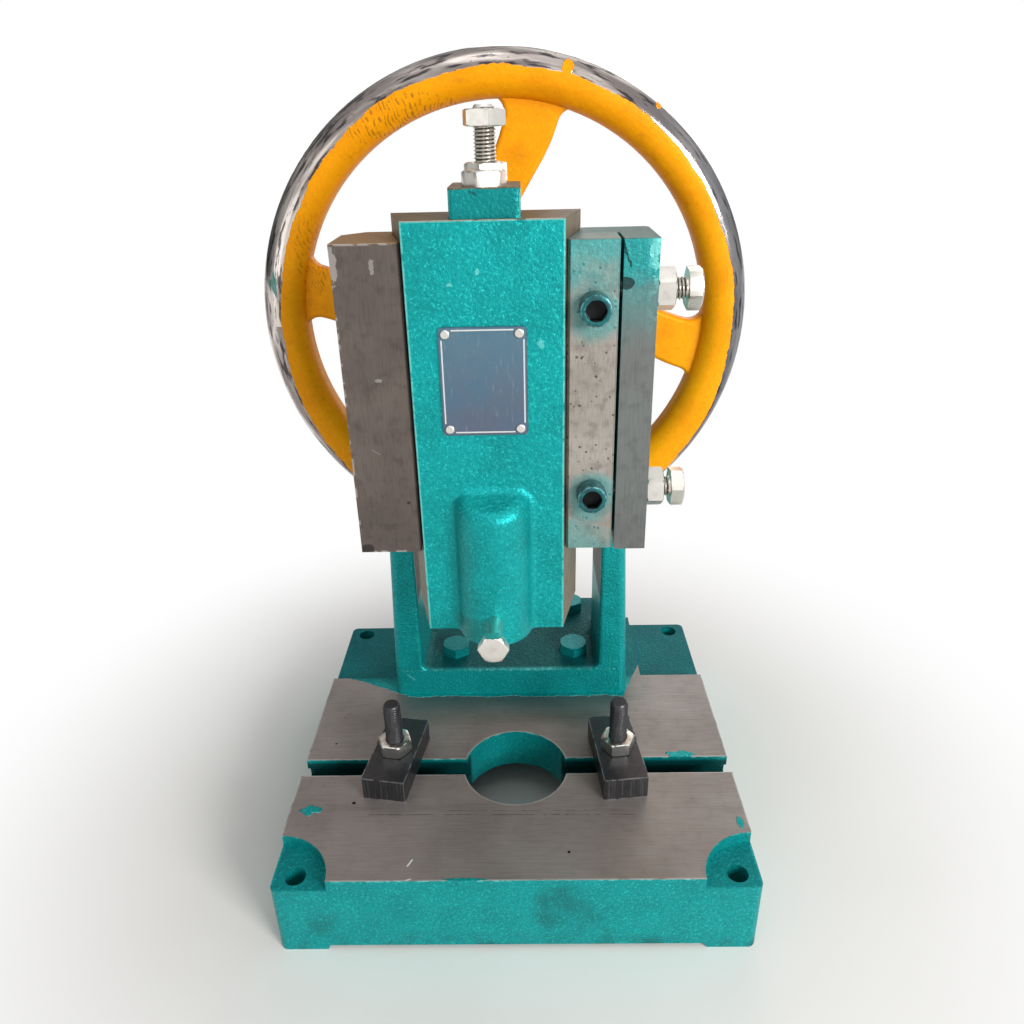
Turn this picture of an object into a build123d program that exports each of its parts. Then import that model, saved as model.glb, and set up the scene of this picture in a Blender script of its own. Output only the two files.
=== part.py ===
from build123d import *
import math
import os

# Bench punch press driven by a flywheel, in millimetres with +Z up and the operator at -Y.
# The origin is the centre of the four bench bolt holes, on the underside of the feet.

# Base casting
base_width = 250.0
base_depth = 237.0
base_height = 50.5
base_corner_radius = 4.0
lug_height = 43.5
lug_recess_radius = 29.5
table_back = 47.0
seat_half_width = 84.0
foot_width = 25.5
foot_step = 3.0
base_wall = 24.0
base_top_thickness = 25.5
base_rib = 12.0
pocket_corner = 6.0
bench_hole_radius = 5.5
bench_hole_side_edge = 11.5
bench_hole_end_edge = 9.0

# Table slot and scrap hole
slot_y = -38.5
slot_neck = 13.0
slot_lip = 6.5
slot_wide = 22.0
slot_wide_height = 9.0
table_hole_radius = 30.0

# Fits and clearances
thread_gap = 0.05
bolt_gap = 0.4
running_gap = 0.05
way_gap = 0.4
guide_gap = 0.3
end_gap = 0.5

# Common fasteners
m10_radius = 5.0
m10_across = 17.0
m10_head = 6.4
m10_nut = 8.5
m10_thin_nut = 7.0
m10_thread_depth = 20.0
m10_thread_spare = 2.0
stud_chamfer = 1.0
m8_radius = 4.0
m8_across = 13.0
m8_head = 5.5

# Column and head casting
frame_x = -3.5
foot_half_width = 76.0
head_half_width = 70.5
channel_half_width = 57.0
column_front = 29.0
column_back = 87.0
flange_inset = 1.5
flange_top = 69.2
flange_corner_radius = 9.0
rear_wall = 12.0
window_top = 190.0
window_radius = 12.0
head_bottom = 199.0
throat_radius = 12.0
head_front = -47.0
housing_top = 326.0
housing_radius = 24.0
housing_roof = 12.0
cast_radius = 5.0
frame_bolt_x = -0.8
frame_bolt_half_spacing = 39.3
frame_bolt_front_edge = 22.5
frame_bolt_rear_edge = 12.5

# Slide and its ways
slide_x = -8.0
slide_front = -48.5
slide_back = -12.5
slide_front_half = 34.7
slide_back_half = 43.3
slide_bottom = 154.0
slide_height = 201.7
way_top = 347.0
way_back = -7.0
way_corner_chamfer = 10.0
way_edge_chamfer = 1.6
right_wall_inner = 51.7
boss_radius = 18.5
boss_y = -46.5
boss_top = 232.0
boss_fall = 7.0
boss_edge_round = 7.0
boss_root = 4.5
die_bore_radius = 8.0
die_bore_y = -42.0
die_bore_depth = 40.0
lock_screw_z = 167.5
lock_screw_head_back = -83.0
lock_screw_stop = 1.5

# Gib and its screws
gib_depth = 20.0
gib_outer = 50.2
gib_bottom = 199.8
cap_screw_x = 39.7
cap_screw_heights = (230.0, 318.6)
cap_screw_radius = 4.75
cap_screw_head_radius = 7.15
cap_screw_head = 9.5
cap_screw_socket = 8.0
cap_screw_depth = 8.0
adjust_y = -37.0
adjust_heights = (228.5, 324.0)
adjust_stand_outs = (11.9, 13.9)
adjust_head_turns = (20.0, -20.0)
lock_nut_turns = (-6.0, 5.0)

# Crank, its bearings and the yoke
crank_z = 281.0
throw = 21.0
pin_radius = 7.0
block_side = 20.0
yoke_side_gap = 0.6
yoke_wall = 10.0
yoke_crown = 14.0
pocket_front = -34.0
pocket_bottom = 270.0
pocket_top = 333.0
web_radius = 31.0
web_clearance = 1.5
web_front = -11.2
web_back = -2.0
guide_wall = 20.0
journal_radius = 15.0
bush_radius = 19.0
bush_length = 30.0
bearing_tube_radius = 30.0
hub_bore_radius = 12.5
shaft_end = 152.0
shaft_thread_radius = 10.0

# Adjusting cap on top of the slide
cap_x = -7.0
cap_half_width = 15.2
cap_front = -46.0
cap_back = -13.0
cap_thickness = 12.3
cap_corner = 2.0
cap_bolt_depth = 12.0
cap_bolt_y = -37.2
stud_y = -19.2
cap_bolt_turn = 15.0
stud_top = 399.0
stud_nut_turn = 18.0
stud_above_nut = 1.5

# Name plate
plate_x = -9.7
plate_z = 286.2
plate_width = 39.5
plate_height = 50.3
plate_thickness = 0.8
plate_corner = 2.0
rivet_radius = 2.2
rivet_shank = 1.15
rivet_head = 1.2
rivet_head_round = 0.9
rivet_half_x = 16.4
rivet_half_z = 22.1

# Flywheel
wheel_y = 109.0
wheel_radius = 148.5
rim_depth = 26.0
rim_width = 30.0
rim_round = 12.0
rim_cover = 2.0
seam_turn = 17.0
spoke_count = 4
spoke_angle = 80.7
spoke_sweep = 40.0
spoke_rim_half = 15.5
spoke_hub_half = 12.5
spoke_thickness = 11.0
spoke_edge_round = 2.5
spoke_root_radius = 9.0
spoke_overlap = 4.0
spoke_spans = 4
hub_radius = 31.0
hub_length = 42.0
key_width = 8.0
key_height = 7.0
key_inset = 6.0
washer_thickness = 3.0
washer_radius = 18.5
shaft_nut_across = 30.0
shaft_nut_height = 16.0

# Table clamps
strap_width = 25.0
strap_length = 53.5
strap_thickness = 14.0
strap_slot_length = 16.0
strap_corner = 1.5
clamp_left = (-69.5, -9.2)
clamp_right = (59.0, 5.5)
strap_y = 0.5
clamp_stud_top = 97.0
clamp_nut = 8.0
tee_width = 20.5
tee_height = 6.0

bench_hole_x = base_width / 2 - bench_hole_side_edge
bench_hole_y = base_depth / 2 - bench_hole_end_edge
flange_back = base_depth / 2 - flange_inset
slide_top = slide_bottom + slide_height
pin_z = crank_z + throw
lag_room = 0.2105 * throw + 0.35
slot_half_height = block_side / 2 + lag_room
slot_half_width = block_side / 2 + throw + end_gap
guide_face = slide_back + guide_gap
guide_back = guide_face + guide_wall
well_bottom = web_back + end_gap
slot_bottom = base_height - slot_lip - slot_wide_height
wheel_front = wheel_y - hub_length / 2
wheel_back = wheel_y + hub_length / 2
cap_top = slide_top + cap_thickness
strap_top = base_height + strap_thickness
gib_back = head_front + gib_depth
top_nut_bottom = stud_top - stud_above_nut - m10_thin_nut


def block(x0, x1, y0, y1, z0, z1):
    """Return a box between two corners."""
    size = Box(x1 - x0, y1 - y0, z1 - z0)
    return Pos((x0 + x1) / 2, (y0 + y1) / 2, (z0 + z1) / 2) * size


def rod_x(radius, x0, x1, y, z):
    """Return a cylinder along X."""
    return Pos((x0 + x1) / 2, y, z) * Rot(0, 90, 0) * Cylinder(radius, x1 - x0)


def rod_y(radius, x, y0, y1, z):
    """Return a cylinder along Y."""
    return Pos(x, (y0 + y1) / 2, z) * Rot(90, 0, 0) * Cylinder(radius, y1 - y0)


def rod_z(radius, x, y, z0, z1):
    """Return a cylinder along Z."""
    return Pos(x, y, (z0 + z1) / 2) * Cylinder(radius, z1 - z0)


def hexagon(across, height, both_ends):
    """Return a hexagon standing on the XY plane, with its corners turned off as on a real nut."""
    prism = extrude(RegularPolygon(across / 2, 6, major_radius=False), height)
    corner = across / math.sqrt(3)
    fall = (corner - across / 2) * math.tan(math.radians(30))
    low = fall if both_ends else 0
    profile = Polyline(
        (0, 0),
        (across / 2 if both_ends else corner + 1, 0),
        (corner + 1, low + 1 / math.sqrt(3) if both_ends else 0.01),
        (corner + 1, height - fall - 1 / math.sqrt(3)),
        (across / 2, height),
        (0, height),
        close=True,
    )
    turned = revolve(Plane.XZ * make_face(profile), Axis.Z)
    return prism & turned


def hexagon_nut(height):
    """Return an M10 nut standing on the XY plane."""
    nut = hexagon(m10_across, height, True)
    return nut - rod_z(m10_radius + thread_gap, 0, 0, -1, height + 1)


def slide_half(y, gap):
    """Return the slide's half width at a depth, plus a clearance."""
    run = (y - slide_front) / (slide_back - slide_front)
    return slide_front_half + (slide_back_half - slide_front_half) * run + gap


def save(shape, name):
    """Write one named piece."""
    shape.label = name
    export_step(shape, "parts/" + name + ".step")


def make_base():
    """Base casting with four bench lugs, table, slot, scrap hole, feet and a ribbed hollow underside."""
    body = extrude(RectangleRounded(base_width, base_depth, base_corner_radius), lug_height)
    table_depth = table_back + base_depth / 2
    table = Pos(0, table_back - table_depth / 2) * Rectangle(base_width, table_depth)
    for side in (-1, 1):
        table -= Pos(side * base_width / 2, -base_depth / 2) * Circle(lug_recess_radius)
    seat_depth = base_depth / 2 - table_back
    table += Pos(0, table_back + seat_depth / 2) * Rectangle(2 * seat_half_width, seat_depth)
    body += extrude(Pos(0, 0, lug_height) * table, base_height - lug_height)

    cavity_x = base_width / 2 - base_wall
    cavity_y = base_depth / 2 - base_wall
    roof = base_height - base_top_thickness
    rib = base_rib / 2
    body -= pocket(-cavity_x, cavity_x, -cavity_y, column_front - rib, roof)
    body -= pocket(-cavity_x, -rib, column_front + rib, cavity_y, roof)
    body -= pocket(rib, cavity_x, column_front + rib, cavity_y, roof)

    foot_x = base_width / 2 - foot_width
    recess = make_face(Polyline(
        (-foot_x, 0),
        (-foot_x + foot_step / 2, foot_step),
        (foot_x - foot_step / 2, foot_step),
        (foot_x, 0),
        close=True,
    ))
    body -= extrude(Plane.XZ * recess, base_depth, both=True)

    for side in (-1, 1):
        for end in (-1, 1):
            body -= rod_z(bench_hole_radius, side * bench_hole_x, end * bench_hole_y, -1, base_height)
    reach = base_width / 2 + 1
    neck = slot_neck / 2
    wide = slot_wide / 2
    body -= block(-reach, reach, slot_y - neck, slot_y + neck, slot_bottom, base_height + 1)
    body -= block(-reach, reach, slot_y - wide, slot_y + wide, slot_bottom, base_height - slot_lip)
    body -= rod_z(table_hole_radius, 0, slot_y, -1, base_height + 1)
    for x, y in frame_bolt_places():
        body -= rod_z(m10_radius + thread_gap, x, y, base_height - m10_thread_depth, base_height + 1)
    return body


def pocket(x0, x1, y0, y1, height):
    """Return one cored pocket of the base's underside, with rounded corners."""
    plan = RectangleRounded(x1 - x0, y1 - y0, pocket_corner)
    return Pos((x0 + x1) / 2, (y0 + y1) / 2, 0) * extrude(plan, height)


def frame_bolt_places():
    """Return the plan positions of the four bolts that hold the column."""
    places = []
    for y in (column_front + frame_bolt_front_edge, flange_back - frame_bolt_rear_edge):
        for side in (-1, 1):
            places.append((frame_bolt_x + side * frame_bolt_half_spacing, y))
    return places


def make_column_frame():
    """One casting: bolting flange, two drafted legs, bearing housing and the slide's ways."""
    half = head_half_width
    outline = make_face(Polyline(
        (-foot_half_width, base_height),
        (foot_half_width, base_height),
        (half, head_bottom),
        (half, housing_top),
        (-half, housing_top),
        (-half, head_bottom),
        close=True,
    ))
    outline = fillet(outline.vertices().group_by(Axis.Y)[-1], housing_radius)
    front_view = Pos(frame_x, 0, 0) * extrude(Plane.XZ * outline, 200, both=True)
    side = make_face(Polyline(
        (column_front, base_height),
        (column_front, head_bottom),
        (guide_face, head_bottom),
        (guide_face, housing_top),
        (column_back, housing_top),
        (column_back, base_height),
        close=True,
    ))
    throat = side.vertices().sort_by_distance((column_front, head_bottom))[0]
    side = fillet(throat, throat_radius)
    rear_corner = side.vertices().sort_by_distance((column_back, housing_top))[0]
    side = fillet(rear_corner, housing_radius)
    side_view = extrude(Plane.YZ * side, 200, both=True)
    body = front_view & side_view
    body = fillet(upright_edges(body, column_front), cast_radius)

    inner = channel_half_width
    left = frame_x - inner
    right = frame_x + inner
    rear_inner = column_back - rear_wall
    roof = housing_top - housing_roof
    channel = rounded_opening(left, right, flange_top, roof, cast_radius, column_front - 1, rear_inner)
    core = rounded_opening(left, right, flange_top, roof, cast_radius, guide_back, column_front)
    low = flange_top - window_radius
    window = rounded_opening(left, right, low, window_top, window_radius, rear_inner - 1, column_back + 1)
    body -= channel
    inner_edges = [e for e in upright_edges(body, column_front) if abs(e.center().X - frame_x) < inner + 1]
    body = fillet(inner_edges, cast_radius / 2)
    body -= core
    body -= window
    body += rod_y(bearing_tube_radius, frame_x, guide_back - 1, rear_inner + 1, crank_z)

    flange_depth = flange_back - column_front
    plate = RectangleRounded(2 * foot_half_width, flange_depth, flange_corner_radius)
    flange = extrude(plate, flange_top - base_height)
    body += Pos(frame_x, column_front + flange_depth / 2, base_height) * flange
    for x, y in frame_bolt_places():
        body -= rod_z(m10_radius + bolt_gap, x, y, base_height - 1, flange_top + 1)

    body += make_left_way()
    body += make_right_way()
    body -= rod_y(web_radius + web_clearance, frame_x, guide_face - 1, well_bottom, crank_z)
    body -= rod_y(bush_radius, frame_x, well_bottom - 1, column_back + 1, crank_z)
    for z in cap_screw_heights:
        depth = gib_back + cap_screw_depth
        body -= rod_y(cap_screw_radius + thread_gap, cap_screw_x, gib_back - 1, depth, z)
    outer = frame_x + head_half_width
    for z in adjust_heights:
        body -= rod_x(m10_radius + thread_gap, right_wall_inner - 1, outer + 1, adjust_y, z)
    return body


def upright_edges(body, y):
    """Return the long edges that stand up from the foot at one depth."""
    edges = []
    for edge in body.edges():
        centre = edge.center()
        if abs(centre.Y - y) < 0.01 and edge.length > 50 and centre.Z > flange_top:
            edges.append(edge)
    return edges


def rounded_opening(x0, x1, z0, z1, radius, y0, y1):
    """Return a straight opening along Y whose corners are rounded."""
    face = Pos((x0 + x1) / 2, (z0 + z1) / 2) * RectangleRounded(x1 - x0, z1 - z0, radius)
    return Pos(0, y1, 0) * extrude(Plane.XZ * face, y1 - y0)


def make_left_way():
    """The fixed way, undercut to hold the slide, left of the slide."""
    outer = frame_x - head_half_width
    front_inner = slide_x - slide_half(head_front, way_gap)
    back_inner = slide_x - slide_half(guide_face, way_gap)
    plan = make_face(Polyline(
        (outer, head_front),
        (front_inner - way_edge_chamfer, head_front),
        (front_inner - way_edge_chamfer / 4, head_front + way_edge_chamfer),
        (back_inner, guide_face),
        (back_inner, way_back),
        (outer + way_corner_chamfer, way_back),
        (outer, way_back - way_corner_chamfer),
        close=True,
    ))
    tall = extrude(Pos(0, 0, head_bottom) * plan, way_top - head_bottom)
    joint_front = way_back - way_corner_chamfer
    cheek = block(outer, back_inner, joint_front, guide_back, head_bottom, housing_top - housing_radius)
    return tall + cheek


def make_right_way():
    """Seat behind the gib and the wall that takes the adjusting bolts."""
    outer = frame_x + head_half_width
    seat_inner = slide_x + slide_half(gib_back, way_gap)
    back_inner = slide_x + slide_half(guide_face, way_gap)
    plan = make_face(Polyline(
        (seat_inner, gib_back),
        (right_wall_inner, gib_back),
        (right_wall_inner, head_front),
        (outer, head_front),
        (outer, way_back - way_edge_chamfer),
        (outer - way_edge_chamfer, way_back),
        (back_inner, way_back),
        (back_inner, guide_face),
        close=True,
    ))
    tall = extrude(Pos(0, 0, head_bottom) * plan, way_top - head_bottom)
    cheek = block(back_inner, outer, way_back - cast_radius, guide_back, head_bottom, housing_top - housing_radius)
    return tall + cheek


def make_gib():
    """Loose guide strip on the right, its inner face matching the slide's slope."""
    front_inner = slide_x + slide_half(head_front, way_gap)
    back_inner = slide_x + slide_half(gib_back, way_gap)
    plan = make_face(Polyline(
        (front_inner + way_edge_chamfer, head_front),
        (gib_outer, head_front),
        (gib_outer, gib_back),
        (back_inner, gib_back),
        (front_inner + way_edge_chamfer / 4, head_front + way_edge_chamfer),
        close=True,
    ))
    body = extrude(Pos(0, 0, gib_bottom) * plan, way_top - gib_bottom)
    for z in cap_screw_heights:
        body -= rod_y(cap_screw_radius + bolt_gap, cap_screw_x, head_front - 1, gib_back + 1, z)
    return body


def make_cap_screws():
    """Two socket cap screws that hold the gib."""
    screws = []
    for z in cap_screw_heights:
        face = head_front - cap_screw_head
        screw = rod_y(cap_screw_head_radius, cap_screw_x, face, head_front, z)
        screw += rod_y(cap_screw_radius, cap_screw_x, head_front, gib_back + cap_screw_depth - end_gap, z)
        socket = extrude(RegularPolygon(cap_screw_socket / 2, 6, major_radius=False), cap_screw_head / 2)
        screw -= Pos(cap_screw_x, face, z) * Rot(-90, 0, 0) * socket
        screws.append(screw)
    return Compound(screws)


def make_adjusting_bolts():
    """Two hexagon bolts that press the gib towards the slide."""
    bolts = []
    wall = frame_x + head_half_width
    for z, stand_out, turn in zip(adjust_heights, adjust_stand_outs, adjust_head_turns):
        bolt = rod_x(m10_radius, gib_outer, wall + stand_out, adjust_y, z)
        place = Pos(wall + stand_out, adjust_y, z) * Rot(0, 90, 0) * Rot(0, 0, turn)
        bolts.append(bolt + place * hexagon(m10_across, m10_head, False))
    return Compound(bolts)


def make_lock_nuts():
    """Lock nuts on the adjusting bolts, tight against the casting."""
    nuts = []
    for z, turn in zip(adjust_heights, lock_nut_turns):
        place = Pos(frame_x + head_half_width, adjust_y, z) * Rot(0, 90, 0) * Rot(0, 0, turn)
        nuts.append(place * hexagon_nut(m10_nut))
    return Compound(nuts)


def make_frame_bolts():
    """Four hexagon bolts through the flange into the base."""
    bolts = []
    low = base_height - m10_thread_depth + m10_thread_spare
    for x, y in frame_bolt_places():
        bolt = rod_z(m10_radius, x, y, low, flange_top)
        bolt += Pos(x, y, flange_top) * Rot(0, 0, 30) * hexagon(m10_across, m10_head, False)
        bolts.append(bolt)
    return Compound(bolts)


def make_slide():
    """Slide with undercut flanks, a domed boss for the punch holder and a pocket for the yoke."""
    plan = make_face(Polyline(
        (slide_x - slide_front_half, slide_front),
        (slide_x + slide_front_half, slide_front),
        (slide_x + slide_back_half, slide_back),
        (slide_x - slide_back_half, slide_back),
        close=True,
    ))
    body = extrude(Pos(0, 0, slide_bottom) * plan, slide_height)
    body += make_boss()
    root = [e for e in body.edges() if abs(e.center().Y - slide_front) < 0.01 and is_boss_root(e)]
    body = fillet(root, boss_root)
    across = slide_back_half + 1
    body -= block(slide_x - across, slide_x + across, pocket_front, slide_back + 1,
                  pocket_bottom, pocket_top)
    body -= rod_z(die_bore_radius, slide_x, die_bore_y, slide_bottom - 1, slide_bottom + die_bore_depth)
    body -= rod_y(m8_radius + thread_gap, slide_x, boss_y - boss_radius - 1, die_bore_y, lock_screw_z)
    body -= rod_z(m10_radius + bolt_gap, cap_x, stud_y, pocket_top - 1, slide_top + 1)
    body -= rod_z(m10_radius + thread_gap, cap_x, cap_bolt_y, slide_top - cap_bolt_depth - end_gap, slide_top + 1)
    return body


def make_boss():
    """Round boss for the punch holder, its top falling forward and rounded."""
    tall = rod_z(boss_radius, slide_x, boss_y, slide_bottom, boss_top)
    front = boss_y - boss_radius
    side = make_face(Polyline(
        (slide_front, boss_top),
        (front, boss_top - boss_fall),
        (front - 1, boss_top - boss_fall),
        (front - 1, boss_top + 1),
        (slide_front, boss_top + 1),
        close=True,
    ))
    tall -= Pos(slide_x, 0, 0) * extrude(Plane.YZ * side, boss_radius + 1, both=True)
    behind = block(slide_x - boss_radius, slide_x + boss_radius, slide_front + boss_root,
                   boss_y + boss_radius, slide_bottom, boss_top)
    tall -= behind
    curved = [e for e in tall.edges() if e.geom_type == GeomType.ELLIPSE]
    return fillet([e for e in curved if e.center().Z > boss_top - boss_fall], boss_edge_round)


def is_boss_root(edge):
    """Tell whether an edge on the slide's front face belongs to the boss."""
    box = edge.bounding_box()
    across = max(abs(box.min.X - slide_x), abs(box.max.X - slide_x))
    return across < boss_radius + 1 and box.size.Z > 0.1


def make_yoke():
    """Yoke across the slide's back, with the cross slot that the crank block runs in."""
    low = pin_z - slot_half_height - yoke_wall
    high = pin_z + slot_half_height + yoke_crown
    front = pocket_front + guide_gap
    back = slide_back - end_gap
    front_half = slide_half(front, -yoke_side_gap)
    back_half = slide_half(back, -yoke_side_gap)
    plan = make_face(Polyline(
        (slide_x - front_half, front),
        (slide_x + front_half, front),
        (slide_x + back_half, back),
        (slide_x - back_half, back),
        close=True,
    ))
    body = extrude(Pos(0, 0, low) * plan, high - low)
    body -= block(frame_x - slot_half_width, frame_x + slot_half_width, front - 1, back + 1,
                  pin_z - slot_half_height, pin_z + slot_half_height)
    body -= rod_z(m10_radius + thread_gap, cap_x, stud_y, pin_z + slot_half_height - 1, high + 1)
    return body


def make_crank_block():
    """Square bronze block on the crank pin."""
    half = block_side / 2
    front = pocket_front + end_gap
    back = slide_back - 2 * end_gap
    body = block(frame_x - half, frame_x + half, front, back, pin_z - half, pin_z + half)
    return body - rod_y(pin_radius + running_gap, frame_x, front - 1, back + 1, pin_z)


def make_crankshaft():
    """Overhung crank: pin, round web, journal and stepped rear end."""
    body = rod_y(pin_radius, frame_x, pocket_front + end_gap, web_front, pin_z)
    body += rod_y(web_radius, frame_x, web_front, web_back, crank_z)
    body += rod_y(journal_radius, frame_x, web_back, wheel_front, crank_z)
    body += rod_y(hub_bore_radius, frame_x, wheel_front, wheel_back, crank_z)
    body += rod_y(shaft_thread_radius, frame_x, wheel_back, shaft_end, crank_z)
    return body - key_space()


def key_space():
    """Return the space that the key fills between shaft and hub."""
    half = key_width / 2
    top = crank_z + hub_bore_radius
    return block(frame_x - half, frame_x + half, wheel_front + key_inset, wheel_back - key_inset,
                 top - key_height / 2, top + key_height / 2)


def make_bush(y0):
    """Plain bronze bush pressed into the head."""
    body = rod_y(bush_radius, frame_x, y0, y0 + bush_length, crank_z)
    return body - rod_y(journal_radius + running_gap, frame_x, y0 - 1, y0 + bush_length + 1, crank_z)


def make_yoke_cap():
    """Block that closes the slide's top and carries the adjusting stud."""
    depth = cap_back - cap_front
    plate = extrude(RectangleRounded(2 * cap_half_width, depth, cap_corner), cap_thickness)
    body = Pos(cap_x, (cap_front + cap_back) / 2, slide_top) * plate
    body -= rod_z(m10_radius + bolt_gap, cap_x, stud_y, slide_top - 1, cap_top + 1)
    return body - rod_z(m10_radius + bolt_gap, cap_x, cap_bolt_y, slide_top - 1, cap_top + 1)


def make_cap_bolt():
    """Hexagon bolt that holds the cap block on the slide."""
    shank = rod_z(m10_radius, cap_x, cap_bolt_y, slide_top - cap_bolt_depth, cap_top)
    head = Rot(0, 0, cap_bolt_turn) * hexagon(m10_across, m10_head, False)
    return shank + Pos(cap_x, cap_bolt_y, cap_top) * head


def make_stud():
    """Adjusting stud from the yoke up through the cap block."""
    low = pin_z + slot_half_height + 1
    body = rod_z(m10_radius, cap_x, stud_y, low, stud_top)
    return chamfer(body.edges().sort_by(Axis.Z)[-1], stud_chamfer)


def make_stud_nut(bottom, height, turn):
    """Hexagon nut on the adjusting stud."""
    return Pos(cap_x, stud_y, bottom) * Rot(0, 0, turn) * hexagon_nut(height)


def make_lock_screw():
    """Hexagon screw that grips the punch holder in the slide's boss."""
    tip = die_bore_y - math.sqrt(die_bore_radius ** 2 - m8_radius ** 2) - lock_screw_stop
    body = rod_y(m8_radius, slide_x, lock_screw_head_back, tip, lock_screw_z)
    head = Pos(slide_x, lock_screw_head_back, lock_screw_z) * Rot(90, 0, 0)
    return body + head * hexagon(m8_across, m8_head, False)


def make_plate():
    """Blank plate on the slide's front."""
    face = RectangleRounded(plate_width, plate_height, plate_corner)
    body = Pos(plate_x, slide_front, plate_z) * extrude(Plane.XZ * face, plate_thickness)
    for x, z in rivet_places():
        body -= rod_y(rivet_shank + running_gap, x, slide_front - 2, slide_front + 1, z)
    return body


def rivet_places():
    """Return the positions of the plate's rivets."""
    places = []
    for side in (-1, 1):
        for end in (-1, 1):
            places.append((plate_x + side * rivet_half_x, plate_z + end * rivet_half_z))
    return places


def make_rivets():
    """Round-headed rivets of the plate."""
    front = slide_front - plate_thickness
    rivets = []
    for x, z in rivet_places():
        head = rod_y(rivet_radius, x, front - rivet_head, front, z)
        head = fillet(head.edges().group_by(Axis.Y)[0], rivet_head_round)
        rivets.append(head + rod_y(rivet_shank, x, front, slide_front, z))
    return Compound(rivets)


def spoke_edge_point(radius, side, angle):
    """Return a point on a spoke's edge: the spoke sweeps round as it runs in to the hub."""
    inward = (wheel_radius - rim_depth - radius) / (wheel_radius - rim_depth - hub_radius)
    inward = max(inward, 0.0)
    half = spoke_rim_half + (spoke_hub_half - spoke_rim_half) * inward
    turn = angle + spoke_sweep * inward ** 2.2
    turn += side * math.degrees(math.asin(half / radius))
    return (radius * math.cos(math.radians(turn)), radius * math.sin(math.radians(turn)))


def spoke_plan(angle):
    """Return the flat outline of one curved spoke."""
    start = hub_radius - spoke_overlap
    reach = wheel_radius - rim_depth + 2 * rim_cover - start
    radii = [start + reach * step / spoke_spans for step in range(spoke_spans + 1)]
    low = [spoke_edge_point(radius, -1, angle) for radius in radii]
    high = [spoke_edge_point(radius, 1, angle) for radius in radii]
    edges = Spline(low) + Line(low[-1], high[-1]) + Spline(high[::-1]) + Line(high[0], low[0])
    return make_face(edges)


def make_flywheel():
    """Flywheel with a heavy rounded rim, four swept spokes and a keyed hub."""
    inner = wheel_radius - rim_depth
    hidden = inner + rim_cover
    web = Circle(inner + rim_depth / 2) - Circle(hidden)
    for index in range(spoke_count):
        web += spoke_plan(spoke_angle + index * 360 / spoke_count)
    corners = [v for v in web.vertices() if abs(v.center().length - hidden) < 1.0]
    web = fillet(corners, spoke_root_radius)
    plate = extrude(Plane.XZ * web, spoke_thickness / 2, both=True)
    edges = plate.edges().group_by(Axis.Y)
    plate = fillet(edges[0] + edges[-1], spoke_edge_round)
    middle = inner + rim_depth / 2
    section = Pos(middle, 0) * RectangleRounded(rim_depth, rim_width, rim_round)
    rim = revolve(section, Axis.Y)
    hub = rod_y(hub_radius, 0, -hub_length / 2, hub_length / 2, 0)
    wheel = Pos(frame_x, wheel_y, crank_z) * (plate + Rot(0, seam_turn, 0) * (rim + hub))
    wheel -= rod_y(hub_bore_radius, frame_x, wheel_front - 1, wheel_back + 1, crank_z)
    return wheel - key_space()


def make_washer():
    """Washer behind the wheel's hub."""
    body = rod_y(washer_radius, frame_x, wheel_back, wheel_back + washer_thickness, crank_z)
    return body - rod_y(shaft_thread_radius + bolt_gap, frame_x, wheel_back - 1, wheel_back + 9, crank_z)


def make_shaft_nut():
    """Hexagon nut that holds the wheel on the shaft."""
    nut = hexagon(shaft_nut_across, shaft_nut_height, True)
    nut -= rod_z(shaft_thread_radius + thread_gap, 0, 0, -1, shaft_nut_height + 1)
    return Pos(frame_x, wheel_back + washer_thickness, crank_z) * Rot(-90, 0, 0) * nut


def clamp_frame(clamp):
    """Return the place of a clamp: its stud's axis and the way it is turned."""
    return Pos(clamp[0], slot_y, 0) * Rot(0, 0, clamp[1])


def make_strap(clamp):
    """Flat clamp strap with a long slot for its stud."""
    plan = RectangleRounded(strap_width, strap_length, strap_corner)
    body = Pos(0, strap_y, base_height) * extrude(plan, strap_thickness)
    slot = SlotOverall(strap_slot_length, 2 * (m10_radius + bolt_gap), rotation=90)
    body -= Pos(0, 0, base_height - 1) * extrude(slot, strap_thickness + 2)
    return clamp_frame(clamp) * body


def make_clamp_bolt(clamp):
    """Stud with a tee head that runs in the table's slot."""
    head_top = base_height - slot_lip
    head_half = tee_width / 2
    x = clamp[0]
    body = block(x - m10_across / 2, x + m10_across / 2, slot_y - head_half, slot_y + head_half,
                 head_top - tee_height, head_top)
    stud = rod_z(m10_radius, x, slot_y, head_top - 1, clamp_stud_top)
    return body + chamfer(stud.edges().sort_by(Axis.Z)[-1], stud_chamfer)


def make_clamp_nut(clamp):
    """Nut that holds a clamp strap down."""
    return clamp_frame(clamp) * Pos(0, 0, strap_top) * hexagon_nut(clamp_nut)


os.makedirs("parts", exist_ok=True)
save(make_base(), "base_plate")
save(make_column_frame(), "column_frame")
save(make_gib(), "gib_plate")
save(make_cap_screws(), "gib_cap_screws")
save(make_adjusting_bolts(), "gib_adjusting_bolts")
save(make_lock_nuts(), "gib_lock_nuts")
save(make_frame_bolts(), "frame_bolts")
save(make_slide(), "slide_body")
save(make_yoke(), "slide_yoke")
save(make_yoke_cap(), "cap_block")
save(make_cap_bolt(), "cap_bolt")
save(make_stud(), "adjusting_stud")
save(make_stud_nut(cap_top, m10_nut, stud_nut_turn), "stud_lock_nut")
save(make_stud_nut(top_nut_bottom, m10_thin_nut, -stud_nut_turn), "stud_top_nut")
save(make_lock_screw(), "punch_lock_screw")
save(make_plate(), "name_plate")
save(make_rivets(), "plate_rivets")
save(make_crankshaft(), "crankshaft")
save(make_crank_block(), "crank_block")
save(make_bush(well_bottom), "front_bush")
save(make_bush(column_back - bush_length), "rear_bush")
save(make_flywheel(), "flywheel")
save(key_space(), "flywheel_key")
save(make_washer(), "shaft_washer")
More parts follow.
